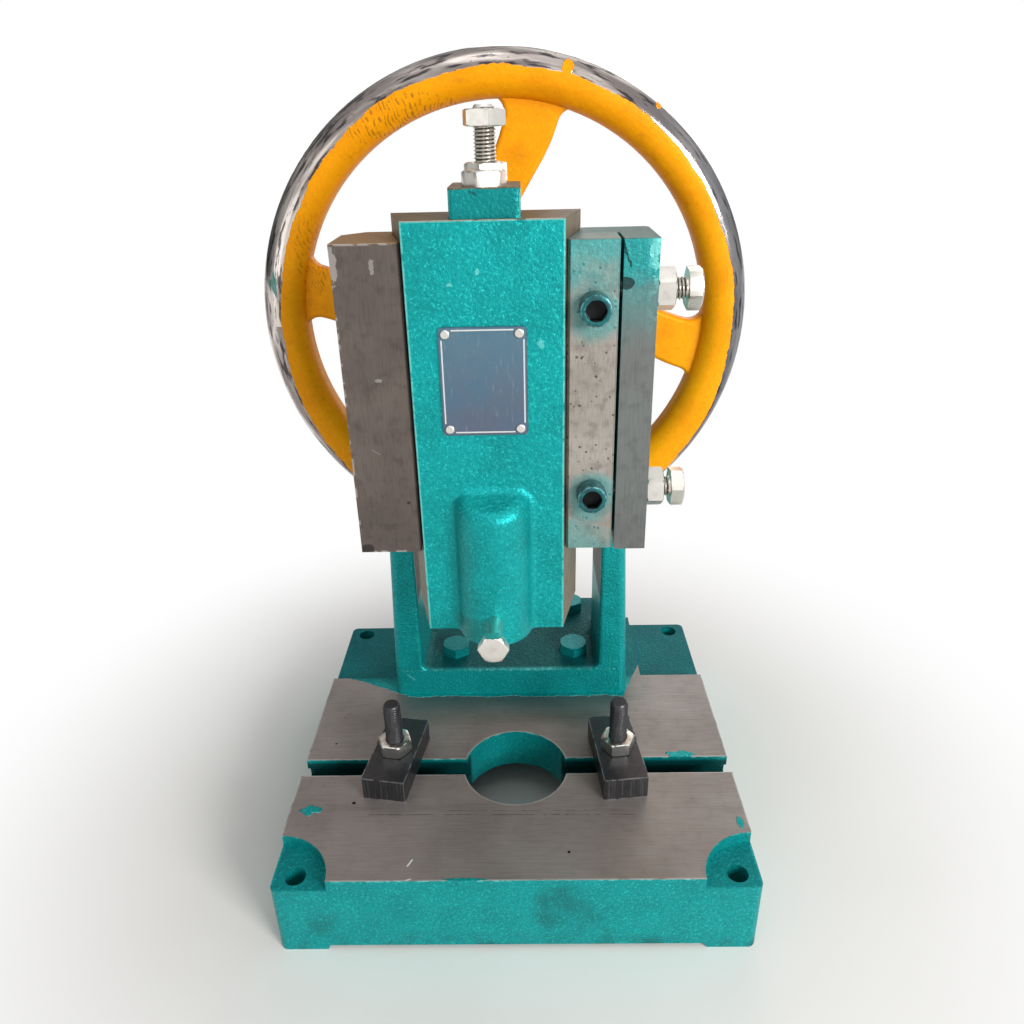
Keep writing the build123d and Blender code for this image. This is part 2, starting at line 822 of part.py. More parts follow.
save(make_shaft_nut(), "shaft_nut")
for side, clamp in (("left", clamp_left), ("right", clamp_right)):
    save(make_strap(clamp), "clamp_strap_" + side)
    save(make_clamp_bolt(clamp), "clamp_bolt_" + side)
    save(make_clamp_nut(clamp), "clamp_nut_" + side)
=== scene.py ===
"""Looks of the flywheel punch press: finishes for its solids, threaded pieces, light and camera."""

import logging
import math
from dataclasses import dataclass, field
from enum import Enum
from functools import reduce
from typing import Callable

import bpy
import numpy as np
from mathutils import Matrix, Vector

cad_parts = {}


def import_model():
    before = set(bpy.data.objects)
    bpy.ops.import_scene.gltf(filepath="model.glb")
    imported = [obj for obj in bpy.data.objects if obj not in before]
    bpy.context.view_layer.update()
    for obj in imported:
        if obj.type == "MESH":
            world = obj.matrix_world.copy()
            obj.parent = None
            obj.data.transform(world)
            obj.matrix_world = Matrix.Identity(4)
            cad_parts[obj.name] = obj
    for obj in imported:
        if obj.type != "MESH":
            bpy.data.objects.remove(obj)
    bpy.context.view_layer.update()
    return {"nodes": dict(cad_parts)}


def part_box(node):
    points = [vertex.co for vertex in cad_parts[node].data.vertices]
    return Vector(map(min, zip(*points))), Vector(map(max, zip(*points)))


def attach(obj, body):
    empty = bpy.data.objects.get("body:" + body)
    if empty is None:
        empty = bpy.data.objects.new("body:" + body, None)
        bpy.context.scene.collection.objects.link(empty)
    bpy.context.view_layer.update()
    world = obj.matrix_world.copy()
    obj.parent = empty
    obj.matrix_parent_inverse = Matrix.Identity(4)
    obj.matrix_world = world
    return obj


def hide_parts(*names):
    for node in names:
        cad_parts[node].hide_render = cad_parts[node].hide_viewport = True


LOG = logging.getLogger("press")
MM = 0.001

# Places that the finishes follow, in millimetres in the frame of the solids
TABLE_TOP = 50.5
TABLE_BACK = 47.0
TABLE_HALF = 125.0
BASE_FRONT = -118.5
SLOT_Y = -38.5
SLOT_HALF = 6.5
HOLE_RADIUS = 30.0
FLANGE_FRONT = 29.0
FLANGE_TOP = 69.2
HEAD_FRONT = -47.0
HEAD_BOTTOM = 199.0
WAY_TOP = 347.0
WAY_LEFT = -74.0
WINDOW_HALF = 57.3
CHANNEL_ENDS = (124.0, 240.0)
GIB_RIGHT = 50.2
SLIDE_X = -8.0
SLIDE_FRONT = -48.5
SLIDE_BACK = -12.5
SLIDE_FRONT_HALF = 34.7
SLIDE_BACK_HALF = 43.3
SLIDE_TOP = 355.7
CAP_FRONT = -46.0
CAP_TOP = 368.0
CAP_HALF = 15.2
CRANK_X = -3.5
CRANK_Z = 281.0
WHEEL_Y = 109.0
PAINT_LINE = 141.0
RIM_SIDE = 144.0
PLATE_X = -9.7
PLATE_Z = 286.2
PLATE_HALF = (19.75, 25.15)
PLATE_LINE = (18.3, 23.7)
SCREW_X = 39.7
SCREW_HEIGHTS = (230.0, 318.6)
SCREW_EDGE = 6.7
SOCKET_RADIUS = 4.45
ADJUST_Y = -37.0
ADJUST_HEIGHTS = (228.5, 324.0)
WALL_OUTER = 67.0
CLAMP_X = (-69.5, 59.0)
CLAMP_TURNS = (-9.2, 5.5)
STRAP_HALF = (12.5, 26.75)
STRAP_TOP = 64.5

Colour = tuple[float, float, float]
Point = tuple[float, float]
Triple = tuple[float, float, float]


def tone(red: int, green: int, blue: int) -> Colour:
    """Turn a screen colour into a linear one.

    Args:
        red, green, blue: channels from 0 to 255.

    Returns:
        The linear colour.
    """
    channels = []
    for value in (red, green, blue):
        share = value / 255
        channels.append(share / 12.92 if share <= 0.04045 else ((share + 0.055) / 1.055) ** 2.4)
    return (channels[0], channels[1], channels[2])


def math_method(operation: str, swapped: bool = False) -> Callable[["Value", "Number"], "Value"]:
    """Make a method that adds one Math node.

    Args:
        operation: the node's operation.
        swapped: whether the other number comes first.

    Returns:
        The method.
    """

    def method(self: "Value", other: "Number" = 0.0) -> "Value":
        """Return the result of one Math node."""
        first, second = (other, self) if swapped else (self, other)
        node = self.graph.node("ShaderNodeMath", {0: first, 1: second}, operation=operation)
        return Value(self.graph, node.outputs[0])

    return method


class Value:
    """A shader number whose arithmetic adds Math nodes."""

    __add__ = math_method("ADD")
    __radd__ = math_method("ADD", swapped=True)
    __sub__ = math_method("SUBTRACT")
    __rsub__ = math_method("SUBTRACT", swapped=True)
    __mul__ = math_method("MULTIPLY")
    __rmul__ = math_method("MULTIPLY", swapped=True)
    __truediv__ = math_method("DIVIDE")
    __pow__ = math_method("POWER")
    __abs__ = math_method("ABSOLUTE")
    larger = math_method("MAXIMUM")
    smaller = math_method("MINIMUM")
    wave = math_method("SINE")
    bearing = math_method("ARCTAN2")

    def __init__(self, graph: "Graph", socket: bpy.types.NodeSocket) -> None:
        """Wrap a socket of a graph."""
        self.graph = graph
        self.socket = socket

    def reach(self, other: "Value") -> "Value":
        """Return the distance from the origin of a plane, of which this and another are the places."""
        return (self * self + other * other) ** 0.5

    def above(self, level: float) -> "Value":
        """Return 1 from just under a top face upwards."""
        return self.rise(level - 0.5, level - 0.2)

    def before(self, level: float) -> "Value":
        """Return 1 from just behind a front face forwards."""
        return self.rise(level + 0.5, level + 0.2)

    def rise(self, low: float, high: float) -> "Value":
        """Go smoothly from 0 at low to 1 at high; with low above high it falls instead."""
        ends = {"From Min": low, "From Max": high, "To Min": 0.0, "To Max": 1.0}
        if low > high:
            ends = {"From Min": high, "From Max": low, "To Min": 1.0, "To Max": 0.0}
        inputs = {"Value": self, **ends}
        node = self.graph.node("ShaderNodeMapRange", inputs, interpolation_type="SMOOTHSTEP")
        return Value(self.graph, node.outputs["Result"])


Number = Value | float
Paint = Colour | bpy.types.NodeSocket


class Graph:
    """The node tree of a world or a material.

    Attributes:
        tree: the node tree.
        place: the place on the object in metres, or in a world the direction.
    """

    def __init__(self, owner: bpy.types.World | bpy.types.Material) -> None:
        """Start an empty tree."""
        owner.use_nodes = True
        self.tree = owner.node_tree
        self.tree.nodes.clear()
        self.place = self.node("ShaderNodeTexCoord").outputs["Object"]

    def node(self, kind: str, inputs: dict | None = None, **settings: object) -> bpy.types.Node:
        """Add a node.

        Args:
            kind: the node's type.
            inputs: input name or number to a value, colour, socket or Value.
            settings: its properties, set before its inputs.

        Returns:
            The new node.
        """
        node = self.tree.nodes.new(kind)
        for name, value in settings.items():
            setattr(node, name, value)
        for key, value in (inputs or {}).items():
            target = node.inputs[key]
            if isinstance(value, Value):
                self.tree.links.new(value.socket, target)
            elif isinstance(value, bpy.types.NodeSocket):
                self.tree.links.new(value, target)
            elif isinstance(value, tuple) and target.type == "RGBA":
                target.default_value = (*value, 1.0)
            else:
                target.default_value = value
        return node

    def mix(self, share: Number, low: Paint, high: Paint) -> bpy.types.NodeSocket:
        """Mix two colours: the first where the share is 0, the second where it is 1."""
        return self.node("ShaderNodeMix", {0: share, 6: low, 7: high}, data_type="RGBA").outputs[2]

    def ray(self, name: str) -> Value:
        """Return whether the ray that arrives is of a kind."""
        return Value(self, self.node("ShaderNodeLightPath").outputs[name])


@dataclass
class Layer:
    """One coat of finish: everything that may change over a surface.

    Attributes:
        graph: the surface that it lies on.
        colour: base colour.
        roughness: from mirror to matt.
        metallic: bare metal share.
        height: relief in millimetres.
    """

    graph: "Surface"
    colour: Paint
    roughness: Number
    metallic: Number = 0.0
    height: Number = 0.0

    def tint(self, share: Number, colour: Paint) -> None:
        """Mix another colour in by a share."""
        self.colour = self.graph.mix(share, self.colour, colour)

    def over(self, mask: Value, below: "Layer") -> "Layer":
        """Lay this coat over another where the mask is 1; equal plain numbers stay plain."""
        values = []
        for name in ("roughness", "metallic", "height"):
            low, high = getattr(below, name), getattr(self, name)
            plain = isinstance(low, float) and isinstance(high, float) and low == high
            values.append(low if plain else (1.0 - mask) * low + mask * high)
        return Layer(self.graph, self.graph.mix(mask, below.colour, self.colour), *values)

    def close(self, specular: float = 0.25) -> bpy.types.Material:
        """Join the coat to the shader; plain numbers are set on its sockets.

        Args:
            specular: reflection level of what isn't metal.

        Returns:
            The material.
        """
        inputs = {
            "Base Color": self.colour,
            "Roughness": self.roughness,
            "Metallic": self.metallic,
            "Specular IOR Level": specular,
        }
        if isinstance(self.height, Value):
            relief = {"Height": self.height, "Distance": MM, "Strength": 1.0}
            inputs["Normal"] = self.graph.node("ShaderNodeBump", relief).outputs[0]
        shader = self.graph.node("ShaderNodeBsdfPrincipled", inputs)
        self.graph.node("ShaderNodeOutputMaterial", {"Surface": shader.outputs[0]})
        return self.graph.material


class Surface(Graph):
    """A new material, with places and patterns in millimetres.

    Attributes:
        material: the material.
        x, y, z: the place on the object.
    """

    def __init__(self, name: str) -> None:
        """Start an empty material."""
        self.material = bpy.data.materials.new(name)
        super().__init__(self.material)
        split = self.node("ShaderNodeSeparateXYZ", {0: self.place})
        self.x, self.y, self.z = (Value(self, output) * 1000.0 for output in split.outputs)

    def stretched(self, stretch: Triple) -> bpy.types.NodeSocket:
        """Return the place in millimetres, squeezed along each axis, which stretches a pattern."""
        scale = tuple(1000.0 * share for share in stretch)
        return self.node("ShaderNodeMapping", {"Vector": self.place, "Scale": scale}).outputs[0]

    def noise(
        self,
        size: float,
        detail: float = 2.0,
        stretch: Triple = (1.0, 1.0, 1.0),
        place: bpy.types.NodeSocket | None = None,
    ) -> Value:
        """Cloudy noise from 0 to 1.

        Args:
            size: size of a cloud in millimetres.
            detail: number of finer octaves.
            stretch: squeeze along each axis.
            place: another place in millimetres to read instead of the object's own.

        Returns:
            The noise.
        """
        vector = self.stretched(stretch) if place is None else place
        inputs = {"Vector": vector, "Scale": 1.0 / size, "Detail": detail}
        return Value(self, self.node("ShaderNodeTexNoise", inputs).outputs[0])

    def cells(self, size: float) -> Value:
        """Distance to the nearest of scattered points, in cells of a size in millimetres."""
        inputs = {"Vector": self.stretched((1.0, 1.0, 1.0)), "Scale": 1.0 / size}
        return Value(self, self.node("ShaderNodeTexVoronoi", inputs).outputs["Distance"])

    def marks(self, first: Value, second: Value, marks: "Marks") -> Value:
        """Return one mask of all marks of a table, in the plane of two places."""
        masks = []
        for mark in marks:
            mask = mark.mask(self, first, second)
            masks.append(mask if mark.strength == 1.0 else mask * mark.strength)
        return reduce(Value.larger, masks)


@dataclass(frozen=True)
class Spot:
    """A ragged oval mark, in millimetres in the plane that it lies in.

    Attributes:
        centre: its middle.
        half: its half sizes.
        ragged: how far noise eats into it.
        strength: share of the mark that shows.
    """

    centre: Point
    half: Point
    ragged: float = 1.4
    strength: float = 1.0

    def mask(self, graph: Surface, first: Value, second: Value) -> Value:
        """Return 1 where the sum of the squared distances, each over its half size, is under 1."""
        across = (first - self.centre[0]) / self.half[0]
        up = (second - self.centre[1]) / self.half[1]
        eaten = (graph.noise(min(self.half) * 1.3, 3.0) - 0.5) * self.ragged
        return (across * across + up * up + eaten).rise(1.0, 0.75)


@dataclass(frozen=True)
class Scratch:
    """A scratch between two points, in millimetres in the plane that it lies in.

    Attributes:
        start, end: its ends.
        width: its width.
        wobble: how far it strays from the straight line.
        strength: share of the mark that shows.
    """

    start: Point
    end: Point
    width: float
    wobble: float = 0.0
    strength: float = 1.0

    def mask(self, graph: Surface, first: Value, second: Value) -> Value:
        """Return 1 where the distance from the line is under half the width and between the ends."""
        long = math.dist(self.start, self.end)
        run = ((self.end[0] - self.start[0]) / long, (self.end[1] - self.start[1]) / long)
        right, up = first - self.start[0], second - self.start[1]
        along = right * run[0] + up * run[1]
        off = up * run[0] - right * run[1]
        if self.wobble:
            off = off + (graph.noise(2.6, 3.0) - 0.5) * self.wobble
        inside = along.rise(-0.3, 0.6) * along.rise(long + 0.3, long - 0.6)
        return abs(off).rise(self.width / 2 + 0.12, self.width / 2 - 0.12) * inside


Marks = tuple[Spot | Scratch, ...]


@dataclass(frozen=True)
class Enamel:
    """Thick enamel with fine metal flakes over a sand casting: pebbled, with painted shade in its hollows,
    painted highlights on its crests and painted flake sparkles.

    Attributes:
        deep: colour of the painted shade in the hollows, and of the specks.
        body: main colour.
        pale: colour of the painted highlights on the crests and of the painted flake sparkles.
        grain: size of the pebbles in millimetres.
        relief: height of the pebbles in millimetres.
        gloss: roughness of the crests.
        flake: share of metal flakes.
    """

    deep: Colour
    body: Colour
    pale: Colour
    grain: float = 1.6
    relief: float = 0.42
    gloss: float = 0.25
    flake: float = 0.5

    def coat(self, graph: Surface) -> Layer:
        """Return the enamel as a layer."""
        pebble = graph.noise(self.grain, 2.0)
        broad = graph.noise(self.grain * 12, 3.0)
        fine = graph.noise(self.grain / 3.0, 1.0)
        crest = (pebble * 0.65 + fine * 0.35).rise(0.47, 0.66)
        specks = graph.noise(self.grain * 0.6, 2.0, (1.0, 1.0, 0.7)).rise(0.56, 0.68)
        height = pebble * self.relief + fine * (self.relief * 0.3) + broad * (self.relief * 2.0)
        rough = self.gloss + (1.0 - crest) * 0.14 + broad * 0.06
        layer = Layer(graph, self.body, rough, self.flake, height)
        # Painted shade: the hollows of the broad relief are darkened
        layer.tint(broad.rise(0.66, 0.28) * 0.3, self.deep)
        layer.tint(specks * 0.34, self.deep)
        # Painted highlight: the crests of the pebbles are lightened
        layer.tint(crest * 0.24, self.pale)
        # Painted glints: tiny pale specks stand for sparkling flakes
        layer.tint(graph.noise(1.0, 0.0).rise(0.69, 0.75) * 0.5, self.pale)
        return layer


@dataclass(frozen=True)
class GroundIron:
    """Machined cast iron: fine parallel lines, small dark pits and a brown bloom.

    Attributes:
        dark: colour of the bloom and the pits.
        body: main colour.
        bright: colour of the cleaner patches.
        lines: squeeze that draws the grinding lines out along one axis.
        metal: metallic share.
        rough: base roughness.
        bloom: strength of the bloom.
        pitting: strength of the pits.
    """

    dark: Colour
    body: Colour
    bright: Colour
    lines: Triple = (0.03, 1.0, 1.0)
    metal: float = 0.6
    rough: float = 0.36
    bloom: float = 0.12
    pitting: float = 0.3

    def coat(self, graph: Surface) -> Layer:
        """Return the ground metal as a layer."""
        streak = graph.noise(0.7, 3.0, self.lines)
        cloud = graph.noise(45.0, 4.0)
        patch = graph.noise(6.0, 4.0)
        pits = graph.cells(4.6).rise(0.14, 0.06) * graph.noise(12.0, 1.0).rise(0.48, 0.62)
        grit = graph.noise(0.9, 2.0).rise(0.58, 0.74)
        height = streak * 0.018 - pits * (0.2 * self.pitting) + patch * 0.012
        rough = self.rough + streak * 0.10 + patch * 0.08
        layer = Layer(graph, self.body, rough, self.metal, height)
        layer.tint(cloud.rise(0.32, 0.7), self.bright)
        layer.tint(patch.rise(0.48, 0.72) * self.bloom, self.dark)
        layer.tint(streak.rise(0.45, 0.68) * 0.2, self.dark)
        layer.tint(pits * self.pitting + grit * (self.pitting * 0.25), self.dark)
        return layer


@dataclass(frozen=True)
class Plating:
    """Plated or blackened fastener: even, slightly cloudy, with fine handling marks.

    Attributes:
        body: main colour.
        shade: colour of the clouds and marks.
        metal: metallic share.
        rough: base roughness.
    """

    body: Colour
    shade: Colour
    metal: float = 1.0
    rough: float = 0.2

    def coat(self, graph: Surface) -> Layer:
        """Return the plating as a layer."""
        cloud = graph.noise(5.0, 4.0)
        marks = graph.noise(0.7, 3.0, (1.0, 0.15, 0.4)).rise(0.52, 0.72)
        rough = self.rough + cloud * 0.10 + marks * 0.06
        layer = Layer(graph, self.body, rough, self.metal, cloud * 0.006 - marks * 0.004)
        layer.tint(cloud.rise(0.46, 0.75) * 0.3, self.shade)
        layer.tint(marks * 0.14, self.shade)
        return layer


TEAL = Enamel(tone(2, 104, 104), tone(6, 152, 152), tone(46, 206, 200))
TEAL_PALE = tone(120, 214, 208)
TEAL_BOLT = Enamel(tone(2, 84, 90), tone(4, 128, 130), tone(30, 176, 172), 1.4, 0.12, 0.26)
ORANGE = Enamel(tone(226, 128, 2), tone(250, 160, 3), tone(255, 182, 10), 2.4, 0.12, 0.34, 0.1)
TABLE_IRON = GroundIron(tone(84, 77, 73), tone(138, 129, 124), tone(152, 144, 139), pitting=0.06)
WAY_IRON = GroundIron(
    tone(48, 41, 37), tone(90, 81, 76), tone(105, 95, 89), (1.0, 1.0, 0.08), 0.35, 0.48, 0.3, 0.35
)
WALL_IRON = GroundIron(
    tone(60, 63, 62), tone(103, 105, 103), tone(112, 116, 113), (1.0, 1.0, 0.05), 0.35, 0.48, 0.25, 0.2
)
GIB_IRON = GroundIron(
    tone(78, 69, 58), tone(149, 142, 133), tone(166, 159, 150), (1.0, 1.0, 0.12), 0.4, 0.42, 0.35, 0.95
)
SLIDE_IRON = GroundIron(
    tone(58, 52, 38), tone(112, 102, 84), tone(132, 118, 96), (1.0, 1.0, 0.1), 0.5, 0.42, 0.4, 0.3
)
ZINC = Plating(tone(224, 220, 212), tone(168, 162, 152), 1.0, 0.24)
BLACKED = Plating(tone(72, 73, 76), tone(30, 30, 32), 0.85, 0.3)
TURNED = Plating(tone(176, 172, 166), tone(104, 98, 90), 1.0, 0.22)
OILED = Plating(tone(84, 80, 74), tone(40, 38, 36), 0.7, 0.4)
BRONZE = Plating(tone(188, 140, 74), tone(110, 74, 34), 0.9, 0.34)
WORN_EDGE = tone(188, 186, 182)
GRIME = tone(24, 40, 38)
PIT_BLACK = tone(22, 20, 18)
SOCKET_BLACK = tone(12, 16, 17)

# Marks of wear, with painted shade and painted glints among them: on the table in plan, on all upright faces
# from the front
TABLE_DROPS: Marks = (
    Spot((-113.3, -71.2), (5.4, 3.8), 3.8),
    Spot((97.6, -30.0), (9.5, 2.8), 3.0),
    Spot((120.5, -82.3), (1.8, 4.4), 3.0),
    Spot((-25.0, BASE_FRONT + 0.6), (12.0, 1.0), 1.6),
)
TABLE_RUBS: Marks = (
    Scratch((-81.0, -75.0), (70.0, -76.4), 0.7),
    Scratch((-40.0, -72.6), (62.0, -73.2), 0.5),
    Scratch((-110.0, 6.0), (-104.0, 14.0), 0.6),
)
TABLE_NICKS: Marks = (
    Scratch((-55.2, -109.8), (-52.8, -105.2), 0.9),
    Scratch((-55.0, -118.3), (-52.0, -117.2), 0.6),
)
TABLE_PITS: Marks = (
    Spot((-90.3, -66.3), (1.1, 1.1), 0.4),
    Spot((27.9, -101.3), (0.9, 0.9), 0.4),
    Spot((-110.0, -18.0), (0.8, 0.7), 0.4),
)
WALL_CRACK: Marks = (
    Scratch((50.6, 347.0), (52.6, 341.5), 1.1, 2.6),
    Scratch((52.2, 341.8), (55.0, 335.0), 0.8, 3.0),
    Spot((52.6, 328.4), (4.0, 2.8), 1.0),
)
WALL_CHIP: Marks = (Spot((64.6, 342.0), (2.4, 3.4), 2.2),)
FLANGE_NICK: Marks = (Scratch((-71.0, 66.5), (-66.0, 62.0), 0.5),)
WAY_WORN: Marks = (
    Spot((-72.8, 338.0), (1.8, 8.0), 2.6),
    Spot((-56.2, 337.5), (1.2, 3.4), 2.8, 0.8),
    Spot((-57.6, 287.2), (1.8, 0.9), 2.4, 0.8),
    Scratch((-64.0, 254.0), (-60.0, 251.0), 0.4, strength=0.6),
)
WAY_STAINS: Marks = (Spot((-71.0, 201.0), (4.0, 2.6), 2.4), Spot((-48.5, 226.0), (1.0, 0.8), 1.0))
SLIDE_GLINTS: Marks = (
    Spot((-10.9, 334.6), (1.0, 1.4), 1.8),
    Spot((-23.2, 329.5), (1.2, 0.8), 1.8),
    Spot((16.0, 303.0), (1.6, 2.4), 3.2, 0.7),
)
# Painted shade on the lower left of the boss
BOSS_SHADE: Marks = (Spot((-17.0, 160.0), (13.0, 9.0), 1.0, 0.3),)
CAP_SCRATCH: Marks = (Scratch((-13.4, 366.6), (-9.6, 365.0), 1.1),)
RIM_DROPS: Marks = (Spot((34.7, 418.0), (3.4, 4.4)), Spot((85.4, 398.2), (2.0, 2.0), 0.8))
RIM_SMEAR: Marks = (Spot((-138.0, 300.0), (7.0, 28.0), 1.6),)
WHEEL_STAINS: Marks = (
    Spot((-55.0, 394.0), (40.0, 14.0), 0.9),
    Spot((-118.0, 322.0), (9.0, 26.0), 1.0, 0.7),
)


class Finishes:
    """Every material of the press, made once."""

    def plain(self, name: str, kind: Plating | Enamel) -> bpy.types.Material:
        """Return a material of a single coat."""
        return kind.coat(Surface(name)).close()

    def base(self) -> bpy.types.Material:
        """Enamelled casting with a ground table; paint creeps on from the column's foot."""
        graph = Surface("base_enamel")
        x, y, z = graph.x, graph.y, graph.z
        left = ((-79.0 - x) * 0.46 + 5.0).larger(0.0)
        right = ((x - 70.0) * 2.4).larger(0.0)
        creep = (graph.noise(16.0, 3.0) - 0.5) * 6.0 + (graph.noise(3.0, 2.0) - 0.5) * 2.4
        line = left + right + creep + (FLANGE_FRONT - 3.0)
        top = z.rise(TABLE_TOP - 0.35, TABLE_TOP - 0.1)
        bare = top * (line - y).rise(-0.4, 0.4) * (1.0 - graph.marks(x, y, TABLE_DROPS))
        return self.table(graph).over(bare, self.front_wear(graph)).close()

    def front_wear(self, graph: Surface) -> Layer:
        """Return the base's enamel: grime low down, thin bright chips along its upper edges, painted shade
        on its upward faces behind the table and round the lugs, and painted shade in the slot.
        """
        paint = TEAL.coat(graph)
        low = graph.z.rise(16.0, 1.0) * graph.noise(20.0, 4.0).rise(0.46, 0.68)
        rub = graph.noise(42.0, 4.0).rise(0.6, 0.74) * 0.45
        paint.tint((low * 0.55).larger(rub * 0.8), GRIME)
        edge = graph.z.rise(TABLE_TOP - 1.3, TABLE_TOP - 0.6)
        edge = edge * graph.z.rise(TABLE_TOP - 0.05, TABLE_TOP - 0.2)
        paint.tint(edge * graph.noise(3.0, 3.0).rise(0.5, 0.6) * 0.75, TEAL_PALE)
        # Painted shade: upward enamel faces behind the table and round the lugs are darkened and made
        # rougher
        behind = graph.y.rise(TABLE_BACK - 16.0, TABLE_BACK + 4.0)
        side, front = TABLE_HALF - abs(graph.x), graph.y - BASE_FRONT
        lugs = (side * side + front * front).rise(1000.0, 700.0) * side.smaller(front).rise(0.3, 1.5)
        top_shade = behind.larger(lugs) * graph.z.rise(TABLE_TOP - 9.0, TABLE_TOP - 7.5)
        shade_depth = graph.noise(30.0, 3.0) * 0.3 + behind * 0.4 + 0.2
        paint.tint(top_shade * shade_depth, tone(2, 78, 84))
        paint.roughness = paint.roughness + top_shade * 0.22
        # Painted shade: the walls of the slot below the table are darkened
        deep = abs(graph.y - SLOT_Y).rise(14.0, 11.0) * graph.z.rise(TABLE_TOP - 0.6, TABLE_TOP - 4.0)
        paint.tint(deep * 0.85, tone(3, 34, 35))
        return paint

    def table(self, graph: Surface) -> Layer:
        """Return the ground table: bright worn edges, clamp rubs, scratches, pits and a painted reflection
        of the flange.
        """
        x, y = graph.x, graph.y
        iron = TABLE_IRON.coat(graph)
        hole = x.reach(y - SLOT_Y) - HOLE_RADIUS
        slot = abs(y - SLOT_Y) - SLOT_HALF
        rim = (y - BASE_FRONT).smaller(TABLE_HALF - abs(x)).smaller(abs(slot)).smaller(abs(hole))
        worn = rim.rise(0.8, 0.35) * graph.noise(7.0, 2.0).rise(0.3, 0.5)
        iron.tint(worn * 0.75, WORN_EDGE)
        rubs = graph.marks(x, y, TABLE_RUBS) * graph.noise(6.0, 3.0).rise(0.38, 0.55)
        haze = abs(y + 70.0).rise(9.0, 3.0) * graph.noise(9.0, 3.0, (0.1, 1.0, 1.0)).rise(0.4, 0.7)
        iron.tint((rubs * 0.6).larger(haze * 0.18), tone(70, 64, 61))
        # Painted reflection: a dark teal tint in front of the flange stands for the flange mirrored in the
        # ground iron
        tint = y.rise(6.0, 27.0) * abs(x).rise(92.0, 60.0)
        iron.tint(tint * 0.5, tone(36, 82, 82))
        iron.tint(graph.marks(x, y, TABLE_NICKS), tone(236, 236, 234))
        iron.tint(graph.marks(x, y, TABLE_PITS), PIT_BLACK)
        return iron

    def column(self) -> bpy.types.Material:
        """Enamelled casting whose way fronts are bare, the right one painted over at its top."""
        graph = Surface("frame_enamel")
        x, y, z = graph.x, graph.y, graph.z
        front = y.before(HEAD_FRONT)
        tops = z.above(WAY_TOP)
        left = x.rise(-20.0, -21.0)
        flank = y.rise(SLIDE_BACK + 4.5, SLIDE_BACK + 3.5) * abs(x - SLIDE_X).rise(48.0, 46.0)
        foot, head = CHANNEL_ENDS
        channel = y.rise(30.5, 32.0) * z.rise(foot - 6.0, foot) * z.rise(head + 10.0, head)
        channel = channel * abs(x - CRANK_X).rise(WINDOW_HALF + 0.3, WINDOW_HALF)
        under = z.rise(HEAD_BOTTOM + 0.4, HEAD_BOTTOM + 0.1)
        under = under * z.rise(HEAD_BOTTOM - 0.4, HEAD_BOTTOM - 0.1)
        ragged = (graph.noise(9.0, 4.0) - 0.5) * 16.0
        paint_end = (z + ragged).rise(322.0, 334.0) * 0.86
        mist = (z + ragged).rise(296.0, 330.0) * 0.42
        dust = paint_end.larger(mist) * (1.0 - left) * (1.0 - tops * 0.7)
        bare = (front + tops + flank + channel + under * left).smaller(1.0) * (1.0 - dust)
        iron = self.left_way(graph).over(left, WALL_IRON.coat(graph))
        layer = iron.over(bare, self.column_paint(graph))
        gouge = graph.marks(x, z, WALL_CRACK) * front
        layer.tint(gouge * 0.85, tone(24, 42, 42))
        layer.height = layer.height - gouge * 0.4
        return layer.close()

    def column_paint(self, graph: Surface) -> Layer:
        """Return the column's enamel: painted shade on the flange top between the legs, chipped along its
        edges.
        """
        x, y, z = graph.x, graph.y, graph.z
        paint = TEAL.coat(graph)
        # Painted shade: the flange top between the legs and the foot of the legs are darkened and made
        # rougher
        shelf_shade = z.rise(66.0, 68.5) * z.rise(74.0, 70.0) * y.rise(FLANGE_FRONT + 1.0, FLANGE_FRONT + 5.0)
        paint.tint(shelf_shade * 0.75, tone(2, 56, 62))
        paint.roughness = paint.roughness + shelf_shade * 0.2
        edge = (HEAD_FRONT + 0.9 - y).rise(0.0, 0.5) * x.rise(61.0, 66.0)
        edge = edge * graph.noise(3.0, 3.0).rise(0.5, 0.56)
        chips = edge.larger(graph.marks(x, z, WALL_CHIP))
        foot = abs(z - FLANGE_TOP).rise(0.9, 0.2) * y.rise(FLANGE_FRONT + 3.0, FLANGE_FRONT + 0.5)
        chips = chips.larger(foot * graph.noise(2.4, 3.0).rise(0.52, 0.64) * 0.6)
        nick = graph.marks(x, z, FLANGE_NICK) * y.rise(FLANGE_FRONT + 1.0, FLANGE_FRONT)
        paint.tint(chips.larger(nick) * 0.8, TEAL_PALE)
        return paint

    def left_way(self, graph: Surface) -> Layer:
        """Return the left way's bare iron: brown, scratched, its outer corners worn pale."""
        x, y, z = graph.x, graph.y, graph.z
        iron = WAY_IRON.coat(graph)
        gold = z.rise(WAY_TOP - 0.4, WAY_TOP - 0.1)
        iron.tint(gold * 0.6, tone(176, 138, 92))
        front = y.before(HEAD_FRONT)
        edge = (x - WAY_LEFT).smaller(WAY_TOP - z).smaller(z - HEAD_BOTTOM)
        worn = edge.rise(1.2, 0.4) * graph.noise(4.0, 3.0).rise(0.48, 0.58) * front
        iron.tint((worn * 0.7).larger(graph.marks(x, z, WAY_WORN) * 0.6), tone(170, 164, 158))
        iron.tint(graph.marks(x, z, WAY_STAINS) * 0.7, PIT_BLACK)
        return iron

